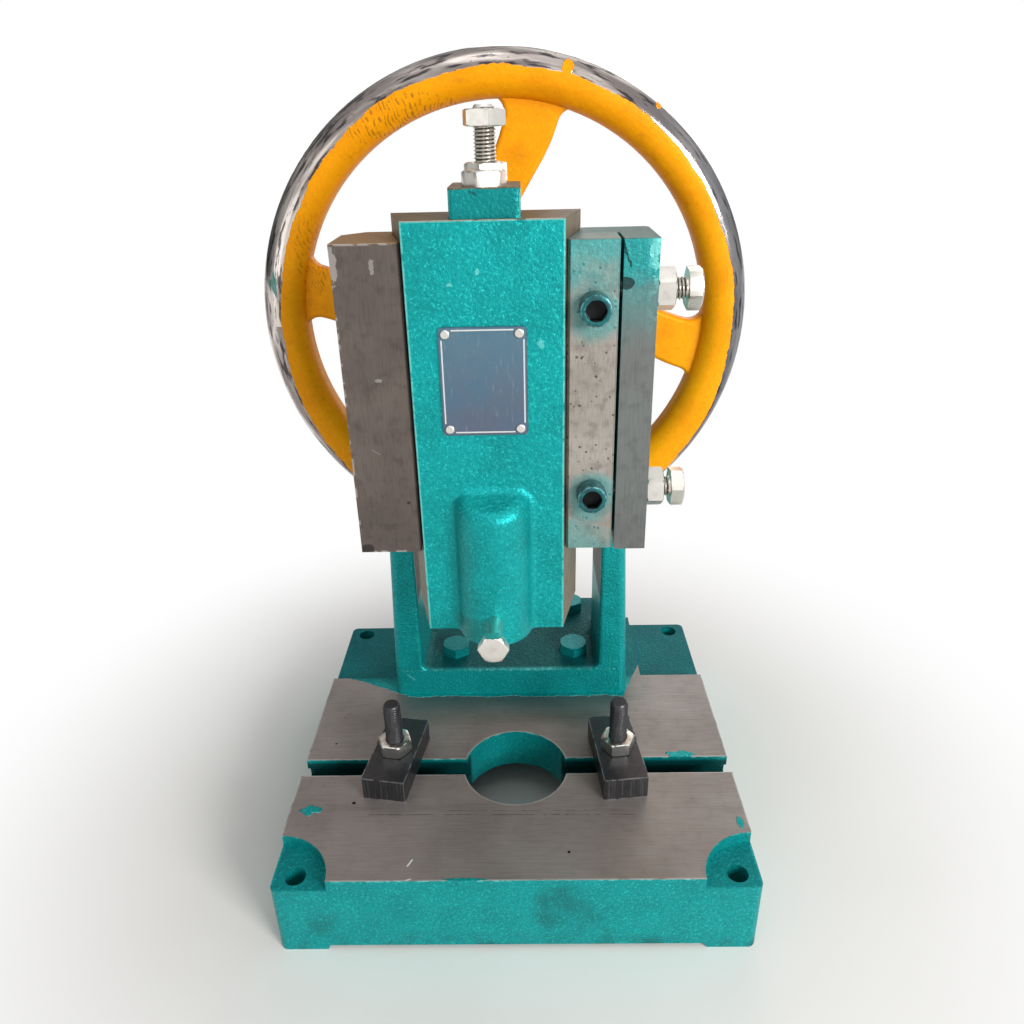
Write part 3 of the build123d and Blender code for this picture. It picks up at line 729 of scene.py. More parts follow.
    def slide(self) -> bpy.types.Material:
        """Enamelled front and boss, with a painted highlight along the front's edges and painted shade on
        the boss; flanks, back and top are bare machined iron.
        """
        graph = Surface("slide_enamel")
        x, y, z = graph.x, graph.y, graph.z
        slope = (SLIDE_BACK_HALF - SLIDE_FRONT_HALF) / (SLIDE_BACK - SLIDE_FRONT)
        half = SLIDE_FRONT_HALF + (y - SLIDE_FRONT) * slope
        depth = half - abs(x - SLIDE_X)
        ragged = (graph.noise(6.0, 3.0) - 0.5) * 1.2
        flank = (depth + ragged).rise(0.6, 0.2) * y.rise(SLIDE_FRONT + 0.2, SLIDE_FRONT + 1.2)
        top = z.above(SLIDE_TOP)
        back = y.rise(SLIDE_BACK - 2.0, SLIDE_BACK - 1.0)
        bare = (flank + top + back).smaller(1.0)
        paint = TEAL.coat(graph)
        # Painted highlight: a thin pale line along the face's side and top edges, with the pale glints on
        # the face
        edge = depth.smaller(SLIDE_TOP - z).rise(1.0, 0.45) * graph.noise(5.0, 2.0).rise(0.32, 0.46)
        paint.tint((edge * 0.6).larger(graph.marks(x, z, SLIDE_GLINTS) * 0.6), TEAL_PALE)
        # Painted shade: the lower left of the boss is darkened
        paint.tint(graph.marks(x, z, BOSS_SHADE), tone(44, 96, 84))
        iron = SLIDE_IRON.coat(graph)
        iron.tint(top * 0.45, tone(78, 66, 48))
        worn = (y - SLIDE_FRONT).rise(1.0, 0.4) * top * graph.noise(6.0, 2.0).rise(0.35, 0.5)
        iron.tint(worn * 0.7, tone(206, 196, 178))
        lines = graph.noise(1.4, 2.0, (1.0, 1.0, 0.01)).rise(0.54, 0.66) * flank * 0.28
        iron.tint(lines, tone(52, 42, 30))
        return iron.over(bare, paint).close()

    def gib(self) -> bpy.types.Material:
        """Bare pitted guide strip with paint mist at its top, its foot and round its screws."""
        graph = Surface("gib_enamel")
        x, z = graph.x, graph.z
        ragged = graph.noise(11.0, 4.0) - 0.5
        mist = (z + ragged * 34.0).rise(308.0, 345.0) * (0.75 - z.above(WAY_TOP) * 0.5)
        mist = mist.larger((z + ragged * 24.0 + (x - 30.0) * 0.5).rise(221.0, 206.0) * 0.5)
        for height in SCREW_HEIGHTS:
            away = (x - SCREW_X).reach(z - height + 3.0)
            mist = mist.larger((away + ragged * 10.0).rise(15.5, 8.0) * 0.55)
        iron = GIB_IRON.coat(graph)
        specks = graph.cells(3.4).rise(0.26, 0.14) * graph.noise(15.0, 2.0).rise(0.44, 0.56)
        iron.tint(specks * 0.75, tone(58, 50, 42))
        iron.height = iron.height - specks * 0.12
        iron.tint((GIB_RIGHT - x).smaller(WAY_TOP - z).rise(1.0, 0.4) * 0.5, tone(96, 96, 88))
        return TEAL.coat(graph).over(mist, iron).close()

    def cap(self) -> bpy.types.Material:
        """Enamelled block with a bare brown top, a scratch, pale worn edges and painted shade on its front
        face.
        """
        graph = Surface("cap_enamel")
        x, y, z = graph.x, graph.y, graph.z
        ragged = (graph.noise(5.0, 3.0) - 0.5) * 1.0
        bare = (z + ragged).rise(CAP_TOP - 0.7, CAP_TOP - 0.3)
        paint = TEAL.coat(graph)
        edge = (CAP_HALF - abs(x + 7.0)).smaller(CAP_TOP - z).rise(0.9, 0.4)
        paint.tint(edge * graph.noise(4.0, 2.0).rise(0.4, 0.5) * 0.5, TEAL_PALE)
        # Painted shade: the front face is darkened toward the hollow colour
        face = y.before(CAP_FRONT)
        paint.tint(face * 0.55, TEAL.deep)
        paint.tint(graph.marks(x, z, CAP_SCRATCH) * face * 0.7, tone(10, 72, 70))
        return SLIDE_IRON.coat(graph).over(bare, paint).close()

    def wheel(self) -> bpy.types.Material:
        """Orange enamel with stains; outside an uneven line the rim is turned and polished.

        The line's radius is a mean less or plus a little with the sine and cosine of the direction, as
        measured round the real rim.
        """
        graph = Surface("wheel_enamel")
        across = graph.x - CRANK_X
        up = graph.z - CRANK_Z
        radius = across.reach(up)
        way, rise = across / radius, up / radius
        line = PAINT_LINE + way * 1.7 - rise * 5.0 - (way * way - rise * rise) * 3.0
        uneven = (graph.noise(46.0, 2.0) - 0.5) * 7.0 + (graph.noise(4.0, 3.0) - 0.5) * 2.6
        front = graph.y.rise(WHEEL_Y + 6.0, WHEEL_Y - 2.0)
        band = (radius + uneven - line).rise(-0.25, 0.25)
        side = (radius + uneven * 0.5).rise(RIM_SIDE - 0.4, RIM_SIDE + 0.4)
        band = side * (1.0 - front) + band * front
        band = band * (1.0 - graph.marks(graph.x, graph.z, RIM_DROPS) * front)
        return self.polish(graph, radius).over(band, self.stained(graph, radius)).close(0.14)

    def stained(self, graph: Surface, radius: Value) -> Layer:
        """Return the wheel's enamel: cloudy stains, a rippled dark patch, and painted shade as deeper orange
        at the rim's inner edge.
        """
        paint = ORANGE.coat(graph)
        paint.tint(graph.noise(26.0, 5.0).rise(0.5, 0.74) * 0.3, tone(214, 112, 2))
        paint.tint(graph.noise(5.0, 4.0, (0.5, 1.0, 1.0)).rise(0.6, 0.74) * 0.22, tone(160, 84, 10))
        region = graph.marks(graph.x, graph.z, WHEEL_STAINS)
        ripple = (graph.x * 1.3 + graph.z * 0.35 + graph.noise(14.0, 3.0) * 14.0) * 1.9
        broken = graph.noise(3.5, 4.0).rise(0.42, 0.6)
        paint.tint(region * ripple.wave().rise(-0.2, 0.9) * broken * 0.6, tone(112, 72, 26))
        # Painted shade: a deeper, darker orange ring where the rim's inner edge meets the spokes
        paint.tint(radius.rise(118.0, 121.5) * radius.rise(125.0, 122.5) * 0.25, tone(196, 96, 4))
        return paint

    def polish(self, graph: Surface, radius: Value) -> Layer:
        """Return the polished rim: bright metal with painted reflections (light and dark streaks drawn out
        round the rim, a darker blue-grey right side), specks and smears.
        """
        across, up = graph.x - CRANK_X, graph.z - CRANK_Z
        around = {0: up.bearing(across) * 22.0, 1: radius, 2: graph.y}
        course = graph.node("ShaderNodeCombineXYZ", around).outputs[0]
        streak = graph.noise(2.2, 3.0, place=course)
        broad_reflection = graph.noise(9.0, 3.0, place=course)
        specks = graph.noise(2.6, 4.0).rise(0.63, 0.72)
        smear = graph.marks(graph.x, graph.z, RIM_SMEAR)
        smear = smear * graph.noise(5.0, 3.0, (1.0, 1.0, 0.3)).rise(0.52, 0.58)
        rough = 0.10 + specks * 0.25 + streak * 0.08 + smear * 0.3
        fine = graph.noise(1.0, 2.0, place=course) * 0.012
        metal = Layer(graph, tone(214, 205, 198), rough, 1.0, fine)
        # Painted reflections: light and dark streaks round the rim and a darker blue-grey right side stand
        # for the mirrored room
        metal.tint(broad_reflection.rise(0.38, 0.6), tone(138, 129, 126))
        metal.tint(across.rise(60.0, 130.0) * 0.7, tone(82, 92, 104))
        metal.tint(streak.rise(0.52, 0.64) * 0.85, tone(46, 45, 50))
        metal.tint(specks * 0.5, tone(104, 78, 60))
        metal.tint(smear * 0.8, tone(40, 120, 112))
        return metal

    def plate(self) -> bpy.types.Material:
        """Bare slate-blue plate with a thin light line inside its edge."""
        graph = Surface("plate_enamel")
        across = abs(graph.x - PLATE_X)
        up = abs(graph.z - PLATE_Z)
        corner = across.rise(13.6, 14.0) * up.rise(19.2, 19.6)
        line = abs((PLATE_LINE[0] - across).smaller(PLATE_LINE[1] - up)).rise(0.40, 0.22) * (1.0 - corner)
        cloud = graph.noise(14.0, 4.0)
        scratches = graph.noise(0.7, 2.0, (1.0, 1.0, 0.1)).rise(0.62, 0.75)
        relief = line * 0.05 + scratches * 0.01
        blue = Layer(graph, tone(88, 98, 116), 0.28 + cloud * 0.15, 0.35, relief)
        blue.tint(graph.z.rise(PLATE_Z - 25.0, PLATE_Z + 25.0), tone(86, 116, 132))
        blue.tint(cloud.rise(0.4, 0.7) * 0.5, tone(70, 108, 132))
        blue.tint(scratches * 0.25, tone(150, 170, 184))
        outer = (PLATE_HALF[0] - across).smaller(PLATE_HALF[1] - up).rise(0.7, 0.2)
        blue.tint(outer * 0.5, tone(40, 72, 84))
        blue.tint(line, tone(212, 212, 208))
        return blue.close(0.35)

    def cap_screws(self) -> bpy.types.Material:
        """Cap screw heads painted over with the casting, with a painted highlight ring round each head's
        edge; their sockets stayed dark.
        """
        graph = Surface("screw_enamel")
        x, y, z = graph.x, graph.y, graph.z
        low, high = (abs(z - height) for height in SCREW_HEIGHTS)
        off = low.smaller(high)
        away = (x - SCREW_X).reach(off)
        socket = away.rise(SOCKET_RADIUS + 0.3, SOCKET_RADIUS) * y.rise(HEAD_FRONT - 10.0, HEAD_FRONT - 9.35)
        paint = TEAL_BOLT.coat(graph)
        worn = graph.noise(2.4, 3.0).rise(0.45, 0.62)
        paint.tint(0.55 + worn * 0.3, tone(46, 66, 70))
        # Painted highlight: a pale ring round the edge of each head
        edge = abs(away - SCREW_EDGE).rise(0.5, 0.15) * graph.noise(2.0, 2.0).rise(0.4, 0.6)
        paint.tint(edge * 0.6, tone(120, 168, 168))
        return Layer(graph, SOCKET_BLACK, 0.4, 0.5).over(socket, paint).close(0.3)

    def strap(self, name: str, centre: Point, turn: float) -> bpy.types.Material:
        """Blackened strap with bright worn edges and saw lines on its ends.

        Args:
            name: the material's name.
            centre: its stud's place in plan.
            turn: how far it is turned, in degrees.

        Returns:
            The material.
        """
        graph = Surface(name)
        cos, sin = math.cos(math.radians(turn)), math.sin(math.radians(turn))
        dx, dy = graph.x - centre[0], graph.y - centre[1]
        wide = STRAP_HALF[0] - abs(dx * cos + dy * sin)
        long = STRAP_HALF[1] - abs(dy * cos - dx * sin - 0.5)
        high = (STRAP_TOP - graph.z).smaller(graph.z - TABLE_TOP)
        edge = wide.larger(long).smaller(wide.larger(high)).smaller(long.larger(high))
        coat = BLACKED.coat(graph)
        worn = edge.rise(0.75, 0.25) * graph.noise(5.0, 3.0).rise(0.36, 0.52)
        coat.tint(worn * 0.6, tone(168, 170, 172))
        saw = graph.noise(0.8, 2.0, (1.0, 1.0, 0.02)).rise(0.5, 0.62) * long.rise(0.5, 0.2)
        coat.tint(saw * 0.35, tone(120, 122, 126))
        coat.tint(graph.noise(7.0, 4.0).rise(0.55, 0.75) * 0.25, tone(96, 94, 92))
        coat.height = coat.height + saw * 0.05
        return coat.close(0.4)


class Section(Enum):
    """Outline that limits a turned row."""

    ROUND = 0
    HEXAGON = 6
    BLOCK = 4


@dataclass
class Row:
    """One ring of a turned surface.

    Attributes:
        radius: radius in millimetres, before the section cuts it.
        height: place along the axis in millimetres.
        section: the outline that cuts it.
    """

    radius: float
    height: float
    section: Section = Section.ROUND


@dataclass(frozen=True)
class Seat:
    """Where a turned piece stands.

    Attributes:
        origin: a point on its axis, in millimetres.
        axis: the way its height runs.
        side: a direction across the axis from which angles are counted.
    """

    origin: Triple
    axis: Triple = (0.0, 0.0, 1.0)
    side: Triple = (1.0, 0.0, 0.0)

    def put(self, across: np.ndarray, along: np.ndarray, height: np.ndarray) -> np.ndarray:
        """Turn local places into metres in the frame.

        Args:
            across: distance along the side direction.
            along: distance along the third direction.
            height: distance along the axis.

        Returns:
            Points, one more dimension of three.
        """
        axis = np.array(self.axis)
        side = np.array(self.side)
        third = np.cross(axis, side)
        place = np.array(self.origin) + across[..., None] * side + along[..., None] * third
        return (place + height[..., None] * axis) * MM


def upright(x: float, y: float, z: float, turn: float = 0.0) -> Seat:
    """Return an upright seat whose first corner is turned by some degrees."""
    angle = math.radians(turn)
    return Seat((x, y, z), (0.0, 0.0, 1.0), (math.cos(angle), math.sin(angle), 0.0))


def rightward(x: float, y: float, z: float, turn: float = 0.0) -> Seat:
    """Return a seat along +X whose top corner is turned forward by some degrees."""
    angle = math.radians(turn)
    return Seat((x, y, z), (1.0, 0.0, 0.0), (0.0, -math.sin(angle), math.cos(angle)))


def ring_mesh(
    name: str, grid: np.ndarray, hollow: bool, groove: np.ndarray | None = None
) -> bpy.types.Object:
    """Make a closed surface from rings of points.

    Args:
        name: object and mesh name.
        grid: rings by points by three, in metres, from the top down and counter-clockwise from above.
        hollow: join the last ring to the first, as round a nut; otherwise both ends are closed by a fan.
        groove: for each point of the rings, whether it lies in a thread's groove; faces there take
            the second material.

    Returns:
        The linked object.
    """
    rings, count = grid.shape[:2]
    index = np.arange(rings * count).reshape(rings, count)
    following = np.roll(index, -1, axis=1)
    lower = np.roll(index, -1, axis=0)
    lower_following = np.roll(following, -1, axis=0)
    last = rings if hollow else rings - 1
    quads = np.stack([index, lower, lower_following, following], axis=-1)[:last].reshape(-1, 4)
    points = grid.reshape(-1, 3)
    faces = quads.tolist()
    if not hollow:
        centres = np.array([grid[0].mean(axis=0), grid[-1].mean(axis=0)])
        points = np.concatenate([points, centres])
        top = np.full(count, rings * count)
        faces += np.stack([top, index[0], following[0]], axis=-1).tolist()
        faces += np.stack([top + 1, following[-1], index[-1]], axis=-1).tolist()
    mesh = bpy.data.meshes.new(name)
    mesh.from_pydata(points.tolist(), [], faces)
    mesh.update()
    shaded = bpy.data.objects.new(name, mesh)
    bpy.context.scene.collection.objects.link(shaded)
    mesh.polygons.foreach_set("use_smooth", np.ones(len(mesh.polygons), dtype=bool))
    mesh.set_sharp_from_angle(angle=math.radians(32))
    if groove is not None:
        slots = np.zeros(len(mesh.polygons), dtype=np.int32)
        slots[: len(quads)] = groove.reshape(-1)[quads].all(axis=1)
        mesh.polygons.foreach_set("material_index", slots)
    return shaded


@dataclass
class Turned:
    """A turned piece: rows down an axis, each cut by a round, hexagon or block outline.

    Attributes:
        name: piece name.
        seat: where it stands.
        rows: the rings from the top down.
        across: width across flats of the hexagon.
        block: half sizes of the block outline.
        steps: points round a ring, a multiple of 12 so that corners fall on points.
        hollow: whether the last row joins the first, as in a nut.
        knurl: row number to the depth of the grooves cut into that row.
    """

    name: str
    seat: Seat
    rows: list[Row]
    across: float = 17.0
    block: Point = (8.5, 10.25)
    steps: int = 72
    hollow: bool = False
    knurl: dict[int, float] = field(default_factory=dict)

    def limit(self, section: Section, angle: np.ndarray) -> np.ndarray:
        """Return how far the outline lies from the axis at each angle.

        A hexagon's flat stands half its width off, divided by the cosine of the angle from the middle
        of that flat. A block is the nearer of its two pairs of sides.

        Args:
            section: the outline.
            angle: the angles.

        Returns:
            The distances.
        """
        if section is Section.HEXAGON:
            off = np.mod(angle, math.pi / 3) - math.pi / 6
            return self.across / 2 / np.cos(off)
        if section is Section.BLOCK:
            wide = self.block[0] / np.maximum(np.abs(np.cos(angle)), 1e-6)
            deep = self.block[1] / np.maximum(np.abs(np.sin(angle)), 1e-6)
            return np.minimum(wide, deep)
        return np.full_like(angle, 1e3)

    def rings(self) -> tuple[np.ndarray, np.ndarray]:
        """Return the rows' radii and heights at every angle."""
        angle = np.arange(self.steps) * (2 * math.pi / self.steps)
        radius = np.array([[row.radius] for row in self.rows])
        cut = np.stack([self.limit(row.section, angle) for row in self.rows])
        reach = np.minimum(radius, cut)
        for number, depth in self.knurl.items():
            reach[number] -= depth * (np.arange(self.steps) % 2)
        height = np.repeat(np.array([[row.height] for row in self.rows]), self.steps, axis=1)
        return reach, height

    def groove(self, reach: np.ndarray, height: np.ndarray) -> np.ndarray | None:
        """Return which points lie in a thread's groove: none here."""
        return None

    def build(self) -> bpy.types.Object:
        """Return the mesh object."""
        angle = np.arange(self.steps) * (2 * math.pi / self.steps)
        reach, height = self.rings()
        grid = self.seat.put(reach * np.cos(angle), reach * np.sin(angle), height)
        return ring_mesh(self.name, grid, self.hollow, self.groove(reach, height))


def head_rows(across: float, height: float) -> list[Row]:
    """Return a hexagon head from its top down to its underside, corners turned off at 30 degrees."""
    corner = across / math.sqrt(3)
    fall = (corner - across / 2) * math.tan(math.radians(30))
    hexagon = Section.HEXAGON
    return [
        Row(across / 2 * 0.5, height),
        Row(across / 2 * 0.93, height),
        Row(across / 2 * 0.985, height - 0.14),
        Row((across / 2 + corner) / 2, height - 0.14 - fall * 0.5, hexagon),
        Row(corner + 1, height - 0.14 - fall, hexagon),
        Row(corner + 1, 0.25, hexagon),
        Row(corner * 0.97, 0.0, hexagon),
    ]


def nut_rows(across: float, height: float, bore: float) -> list[Row]:
    """Return a nut from its top bore edge over the outside and back up to the bore."""
    corner = across / math.sqrt(3)
    fall = (corner - across / 2) * math.tan(math.radians(30))
    hexagon = Section.HEXAGON
    return [
        Row(bore + 0.5, height),
        Row(across / 2 * 0.95, height),
        Row((across / 2 + corner) / 2, height - fall * 0.5, hexagon),
        Row(corner + 1, height - fall, hexagon),
        Row(corner + 1, fall, hexagon),
        Row((across / 2 + corner) / 2, fall * 0.5, hexagon),
        Row(across / 2 * 0.95, 0.0),
        Row(bore + 0.5, 0.0),
        Row(bore + 0.05, 0.5),
        Row(bore + 0.05, height - 0.5),
    ]


@dataclass(kw_only=True)
class Thread(Turned):
    """A threaded rod: under its head rows the radius rises and falls once a pitch, shifted by the angle.

    Attributes:
        low, high: ends of the thread.
        radius: crest radius in millimetres.
        pitch: distance from crest to crest.
        foot: rows below the thread, from the top down.
        steps: points round a ring.
    """

    low: float
    high: float
    radius: float
    pitch: float
    foot: list[Row] = field(default_factory=list)
    steps: int = 48

    def rings(self) -> tuple[np.ndarray, np.ndarray]:
        """Return the radii and heights of head, thread and foot at every angle.

        The thread's radius is the crest less the depth times a rounded saw of height over pitch less
        the turn.
        """
        angle = np.arange(self.steps) * (2 * math.pi / self.steps)
        levels = max(int((self.high - self.low) / self.pitch * 8), 8)
        height = np.linspace(self.high, self.low, levels)[:, None]
        phase = np.mod(height / self.pitch - angle / (2 * math.pi), 1.0)
        depth = 0.58 * self.pitch
        saw = np.clip(np.abs(phase * 2 - 1) * 1.25 - 0.12, 0, 1)
        pairs = [(self.radius - depth * saw, np.repeat(height, self.steps, axis=1))]
        if self.foot:
            foot = Turned(self.name, self.seat, self.foot, steps=self.steps)
            pairs.append(foot.rings())
        if self.rows:
            pairs.insert(0, super().rings())
        return np.concatenate([pair[0] for pair in pairs]), np.concatenate([pair[1] for pair in pairs])

    def groove(self, reach: np.ndarray, height: np.ndarray) -> np.ndarray | None:
        """Return which points lie in the thread's groove."""
        threaded = (height > self.low) & (height < self.high)
        return threaded & (reach < self.radius - 0.3 * self.pitch)


@dataclass
class Fasteners:
    """Bolts, studs, nuts and cap screws with their threads.

    Attributes:
        zinc: bright plated finish.
        black: blackened finish.
        painted: finish of the cap screws.
        oil: dark film in the grooves of the threads.
        m10: thread radius of the M10 pieces, in millimetres.
        m10_pitch: their pitch.
        across: their width across flats.
        head: height of an M10 head.
        adjust_ends: where the heads of the adjusting bolts start, lower and upper.
        adjust_turns: how far those heads are turned forward, in degrees.
        lock_turns: how far their lock nuts are turned forward.
        stud_turns: turns of the lock nut and the top nut of the adjusting stud.
        cap_bolt_turn: turn of the cap bolt's head.
    """

    zinc: bpy.types.Material
    black: bpy.types.Material
    painted: bpy.types.Material
    oil: bpy.types.Material
    m10: float = 5.0
    m10_pitch: float = 1.5
    across: float = 17.0
    head: float = 6.4
    adjust_ends: Point = (78.9, 80.9)
    adjust_turns: Point = (20.0, -20.0)
    lock_turns: Point = (-6.0, 5.0)
    stud_turns: Point = (18.0, -18.0)
    cap_bolt_turn: float = 15.0

    def settle(self, piece: bpy.types.Object, finish: bpy.types.Material, body: str, node: str) -> None:
        """Dress a piece, let it ride on its body and stand for its solid."""
        piece.data.materials.append(finish)
        if any(face.material_index for face in piece.data.polygons):
            piece.data.materials.append(self.oil)
        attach(piece, body)
        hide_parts(node)
        LOG.info("fastener %s", piece.name)

    def joined(self, name: str, parts: list[bpy.types.Object]) -> bpy.types.Object:
        """Join like pieces into one object, as their solids share one node."""
        grooved = [face.material_index for part in parts for face in part.data.polygons]
        with bpy.context.temp_override(
            active_object=parts[0], selected_objects=parts, selected_editable_objects=parts
        ):
            bpy.ops.object.join()
        whole = parts[0]
        whole.data.polygons.foreach_set("material_index", grooved)
        whole.name = name
        whole.data.name = name
        return whole

    def build(self) -> None:
        """Make every fastener."""
        self.adjusting_stud()
        self.stud_nuts()
        self.cap_bolt()
        self.lock_screw()
        self.gib_bolts()
        self.gib_nuts()
        self.gib_screws()
        self.clamps()
        self.shaft_nut()

    def middle(self, node: str) -> tuple[float, float, float, float]:
        """Return a solid's middle in plan and its lowest and highest place, in millimetres."""
        low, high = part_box(node)
        return (low.x + high.x) / 2 / MM, (low.y + high.y) / 2 / MM, low.z / MM, high.z / MM

    def thread(self, name: str, seat: Seat, head: list[Row], low: float, high: float) -> Thread:
        """Return an M10 thread between two heights, under the rows of its head."""
        return Thread(name, seat, head, low=low, high=high, radius=self.m10, pitch=self.m10_pitch)

    def stud(self, name: str, x: float, y: float, low: float, top: float) -> Thread:
        """Return an upright stud between two heights, with a chamfered top."""
        head = [Row(2.0, top), Row(4.0, top), Row(4.7, top - 0.9)]
        return self.thread(name, upright(x, y, 0.0), head, low, top - 1.1)

    def nut(self, name: str, seat: Seat, height: float) -> bpy.types.Object:
        """Return an M10 nut of a height."""
        rows = nut_rows(self.across, height, self.m10)
        return Turned(name, seat, rows, self.across, hollow=True).build()

    def adjusting_stud(self) -> None:
        """Stud that stands up through the cap block."""
        x, y, low, top = self.middle("adjusting_stud")
        rod = self.stud("stud_thread", x, y, low, top)
        self.settle(rod.build(), self.zinc, "slide", "adjusting_stud")

    def stud_nuts(self) -> None:
        """Lock nut and top nut of the adjusting stud."""
        for node, turn in zip(("stud_lock_nut", "stud_top_nut"), self.stud_turns):
            x, y, low, high = self.middle(node)
            nut = self.nut(node + "_shaped", upright(x, y, low, turn), high - low)
            self.settle(nut, self.zinc, "slide", node)

    def cap_bolt(self) -> None:
        """Bolt that holds the cap block."""
        x, y, low, high = self.middle("cap_bolt")
        rows = head_rows(self.across, high - CAP_TOP) + [Row(self.m10, 0.0), Row(self.m10, low - CAP_TOP)]
        bolt = Turned("cap_bolt_shaped", upright(x, y, CAP_TOP, self.cap_bolt_turn), rows)
        self.settle(bolt.build(), self.zinc, "slide", "cap_bolt")

    def lock_screw(self) -> None:
        """Cross screw of the boss: plain shank and hexagon head."""
        low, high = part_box("punch_lock_screw")
        head = 5.5
        back = low.y / MM + head
        seat = Seat(((low.x + high.x) / 2 / MM, back, (low.z + high.z) / 2 / MM), (0.0, -1.0, 0.0))
        rows = head_rows(13.0, head) + [Row(4.0, 0.0), Row(4.0, back - high.y / MM)]
        screw = Turned("lock_screw_shaped", seat, rows, 13.0).build()
        self.settle(screw, self.zinc, "slide", "punch_lock_screw")

    def gib_bolts(self) -> None:
        """Two adjusting bolts that press the gib."""
        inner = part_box("gib_adjusting_bolts")[0].x / MM
        parts = []
        for height, end, turn in zip(ADJUST_HEIGHTS, self.adjust_ends, self.adjust_turns):
            seat = rightward(end, ADJUST_Y, height, turn)
            head = head_rows(self.across, self.head) + [Row(self.m10, 0.0)]
            parts.append(self.thread("gib_bolt", seat, head, inner - end, -0.6).build())
        self.settle(self.joined("gib_bolts_threaded", parts), self.zinc, "frame", "gib_adjusting_bolts")

    def gib_nuts(self) -> None:
        """Lock nuts of the adjusting bolts."""
        low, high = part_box("gib_lock_nuts")
        parts = []
        for height, turn in zip(ADJUST_HEIGHTS, self.lock_turns):
            seat = rightward(WALL_OUTER, ADJUST_Y, height, turn)
            parts.append(self.nut("gib_nut", seat, (high.x - low.x) / MM))
        self.settle(self.joined("gib_nuts_shaped", parts), self.zinc, "frame", "gib_lock_nuts")

    def gib_screws(self) -> None:
        """Socket cap screws of the gib, with a knurled head and a hexagon socket."""
        low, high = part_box("gib_cap_screws")
        radius = (high.x - low.x) / 2 / MM
        parts = []
        for height in SCREW_HEIGHTS:
            seat = Seat((SCREW_X, HEAD_FRONT, height), (0.0, -1.0, 0.0))
            rows = [
                Row(0.5, 4.6, Section.HEXAGON),
                Row(9.0, 5.0, Section.HEXAGON),
                Row(9.0, 9.1, Section.HEXAGON),
                Row(4.9, 9.5),
                Row(radius - 0.9, 9.5),
                Row(radius - 0.25, 9.1),
                Row(radius, 8.6),
                Row(radius, 0.8),
                Row(radius - 0.5, 0.0),
                Row(4.75, 0.0),
                Row(4.75, HEAD_FRONT - high.y / MM),
            ]
            parts.append(Turned("gib_screw", seat, rows, across=8.0, knurl={6: 0.22, 7: 0.22}).build())
        self.settle(self.joined("gib_screws_knurled", parts), self.painted, "frame", "gib_cap_screws")

    def clamps(self) -> None:
        """Tee studs and nuts of the two table clamps."""
        for side, turn in zip(("left", "right"), CLAMP_TURNS):
            x, y, low, top = self.middle("clamp_bolt_" + side)
            tee = low + 6.0
            rod = self.stud("clamp_stud_" + side, x, y, tee, top)
            rod.foot = [
                Row(self.m10, tee),
                Row(30.0, tee, Section.BLOCK),
                Row(30.0, low, Section.BLOCK),
            ]
            self.settle(rod.build(), self.black, side + "_clamp", "clamp_bolt_" + side)
            _, _, low, high = self.middle("clamp_nut_" + side)
            nut = self.nut("clamp_nut_shaped_" + side, upright(x, SLOT_Y, low, turn), high - low)
            self.settle(nut, self.zinc, side + "_clamp", "clamp_nut_" + side)

    def shaft_nut(self) -> None:
        """Nut on the rear end of the crankshaft."""
        low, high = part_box("shaft_nut")
        seat = Seat((CRANK_X, low.y / MM, CRANK_Z), (0.0, 1.0, 0.0))
        rows = nut_rows(30.0, (high.y - low.y) / MM, 10.0)
        nut = Turned("shaft_nut_shaped", seat, rows, 30.0, hollow=True)
        self.settle(nut.build(), self.zinc, "crank", "shaft_nut")


@dataclass
class Casting:
    """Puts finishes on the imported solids.

    Attributes:
        nodes: the solids by name.
        finishes: the maker of materials.
    """

    nodes: dict[str, bpy.types.Object]
    finishes: Finishes

    def dress(self, finish: bpy.types.Material, *names: str) -> None:
        """Give solids a material."""
        for name in names:
            slots = self.nodes[name].data.materials
            slots.clear()
            slots.append(finish)
            LOG.info("solid %s: %s", name, finish.name)

    def build(self) -> None:
        """Dress every solid that stays."""
        finishes = self.finishes
        self.dress(finishes.base(), "base_plate")
        self.dress(finishes.column(), "column_frame")
        self.dress(finishes.slide(), "slide_body")
        self.dress(finishes.gib(), "gib_plate")
        self.dress(finishes.cap(), "cap_block")
        self.dress(finishes.wheel(), "flywheel")
        self.dress(finishes.plate(), "name_plate")
        for side, place, turn in zip(("left", "right"), CLAMP_X, CLAMP_TURNS):
            finish = finishes.strap("strap_black_" + side, (place, SLOT_Y), turn)
            self.dress(finish, "clamp_strap_" + side)
        self.dress(finishes.plain("bolt_enamel", TEAL_BOLT), "frame_bolts")
        self.dress(finishes.plain("rivet_steel", ZINC), "plate_rivets", "shaft_washer")
        self.dress(finishes.plain("turned_steel", TURNED), "crankshaft", "slide_yoke", "flywheel_key")
        self.dress(finishes.plain("bronze", BRONZE), "crank_block", "front_bush", "rear_bush")


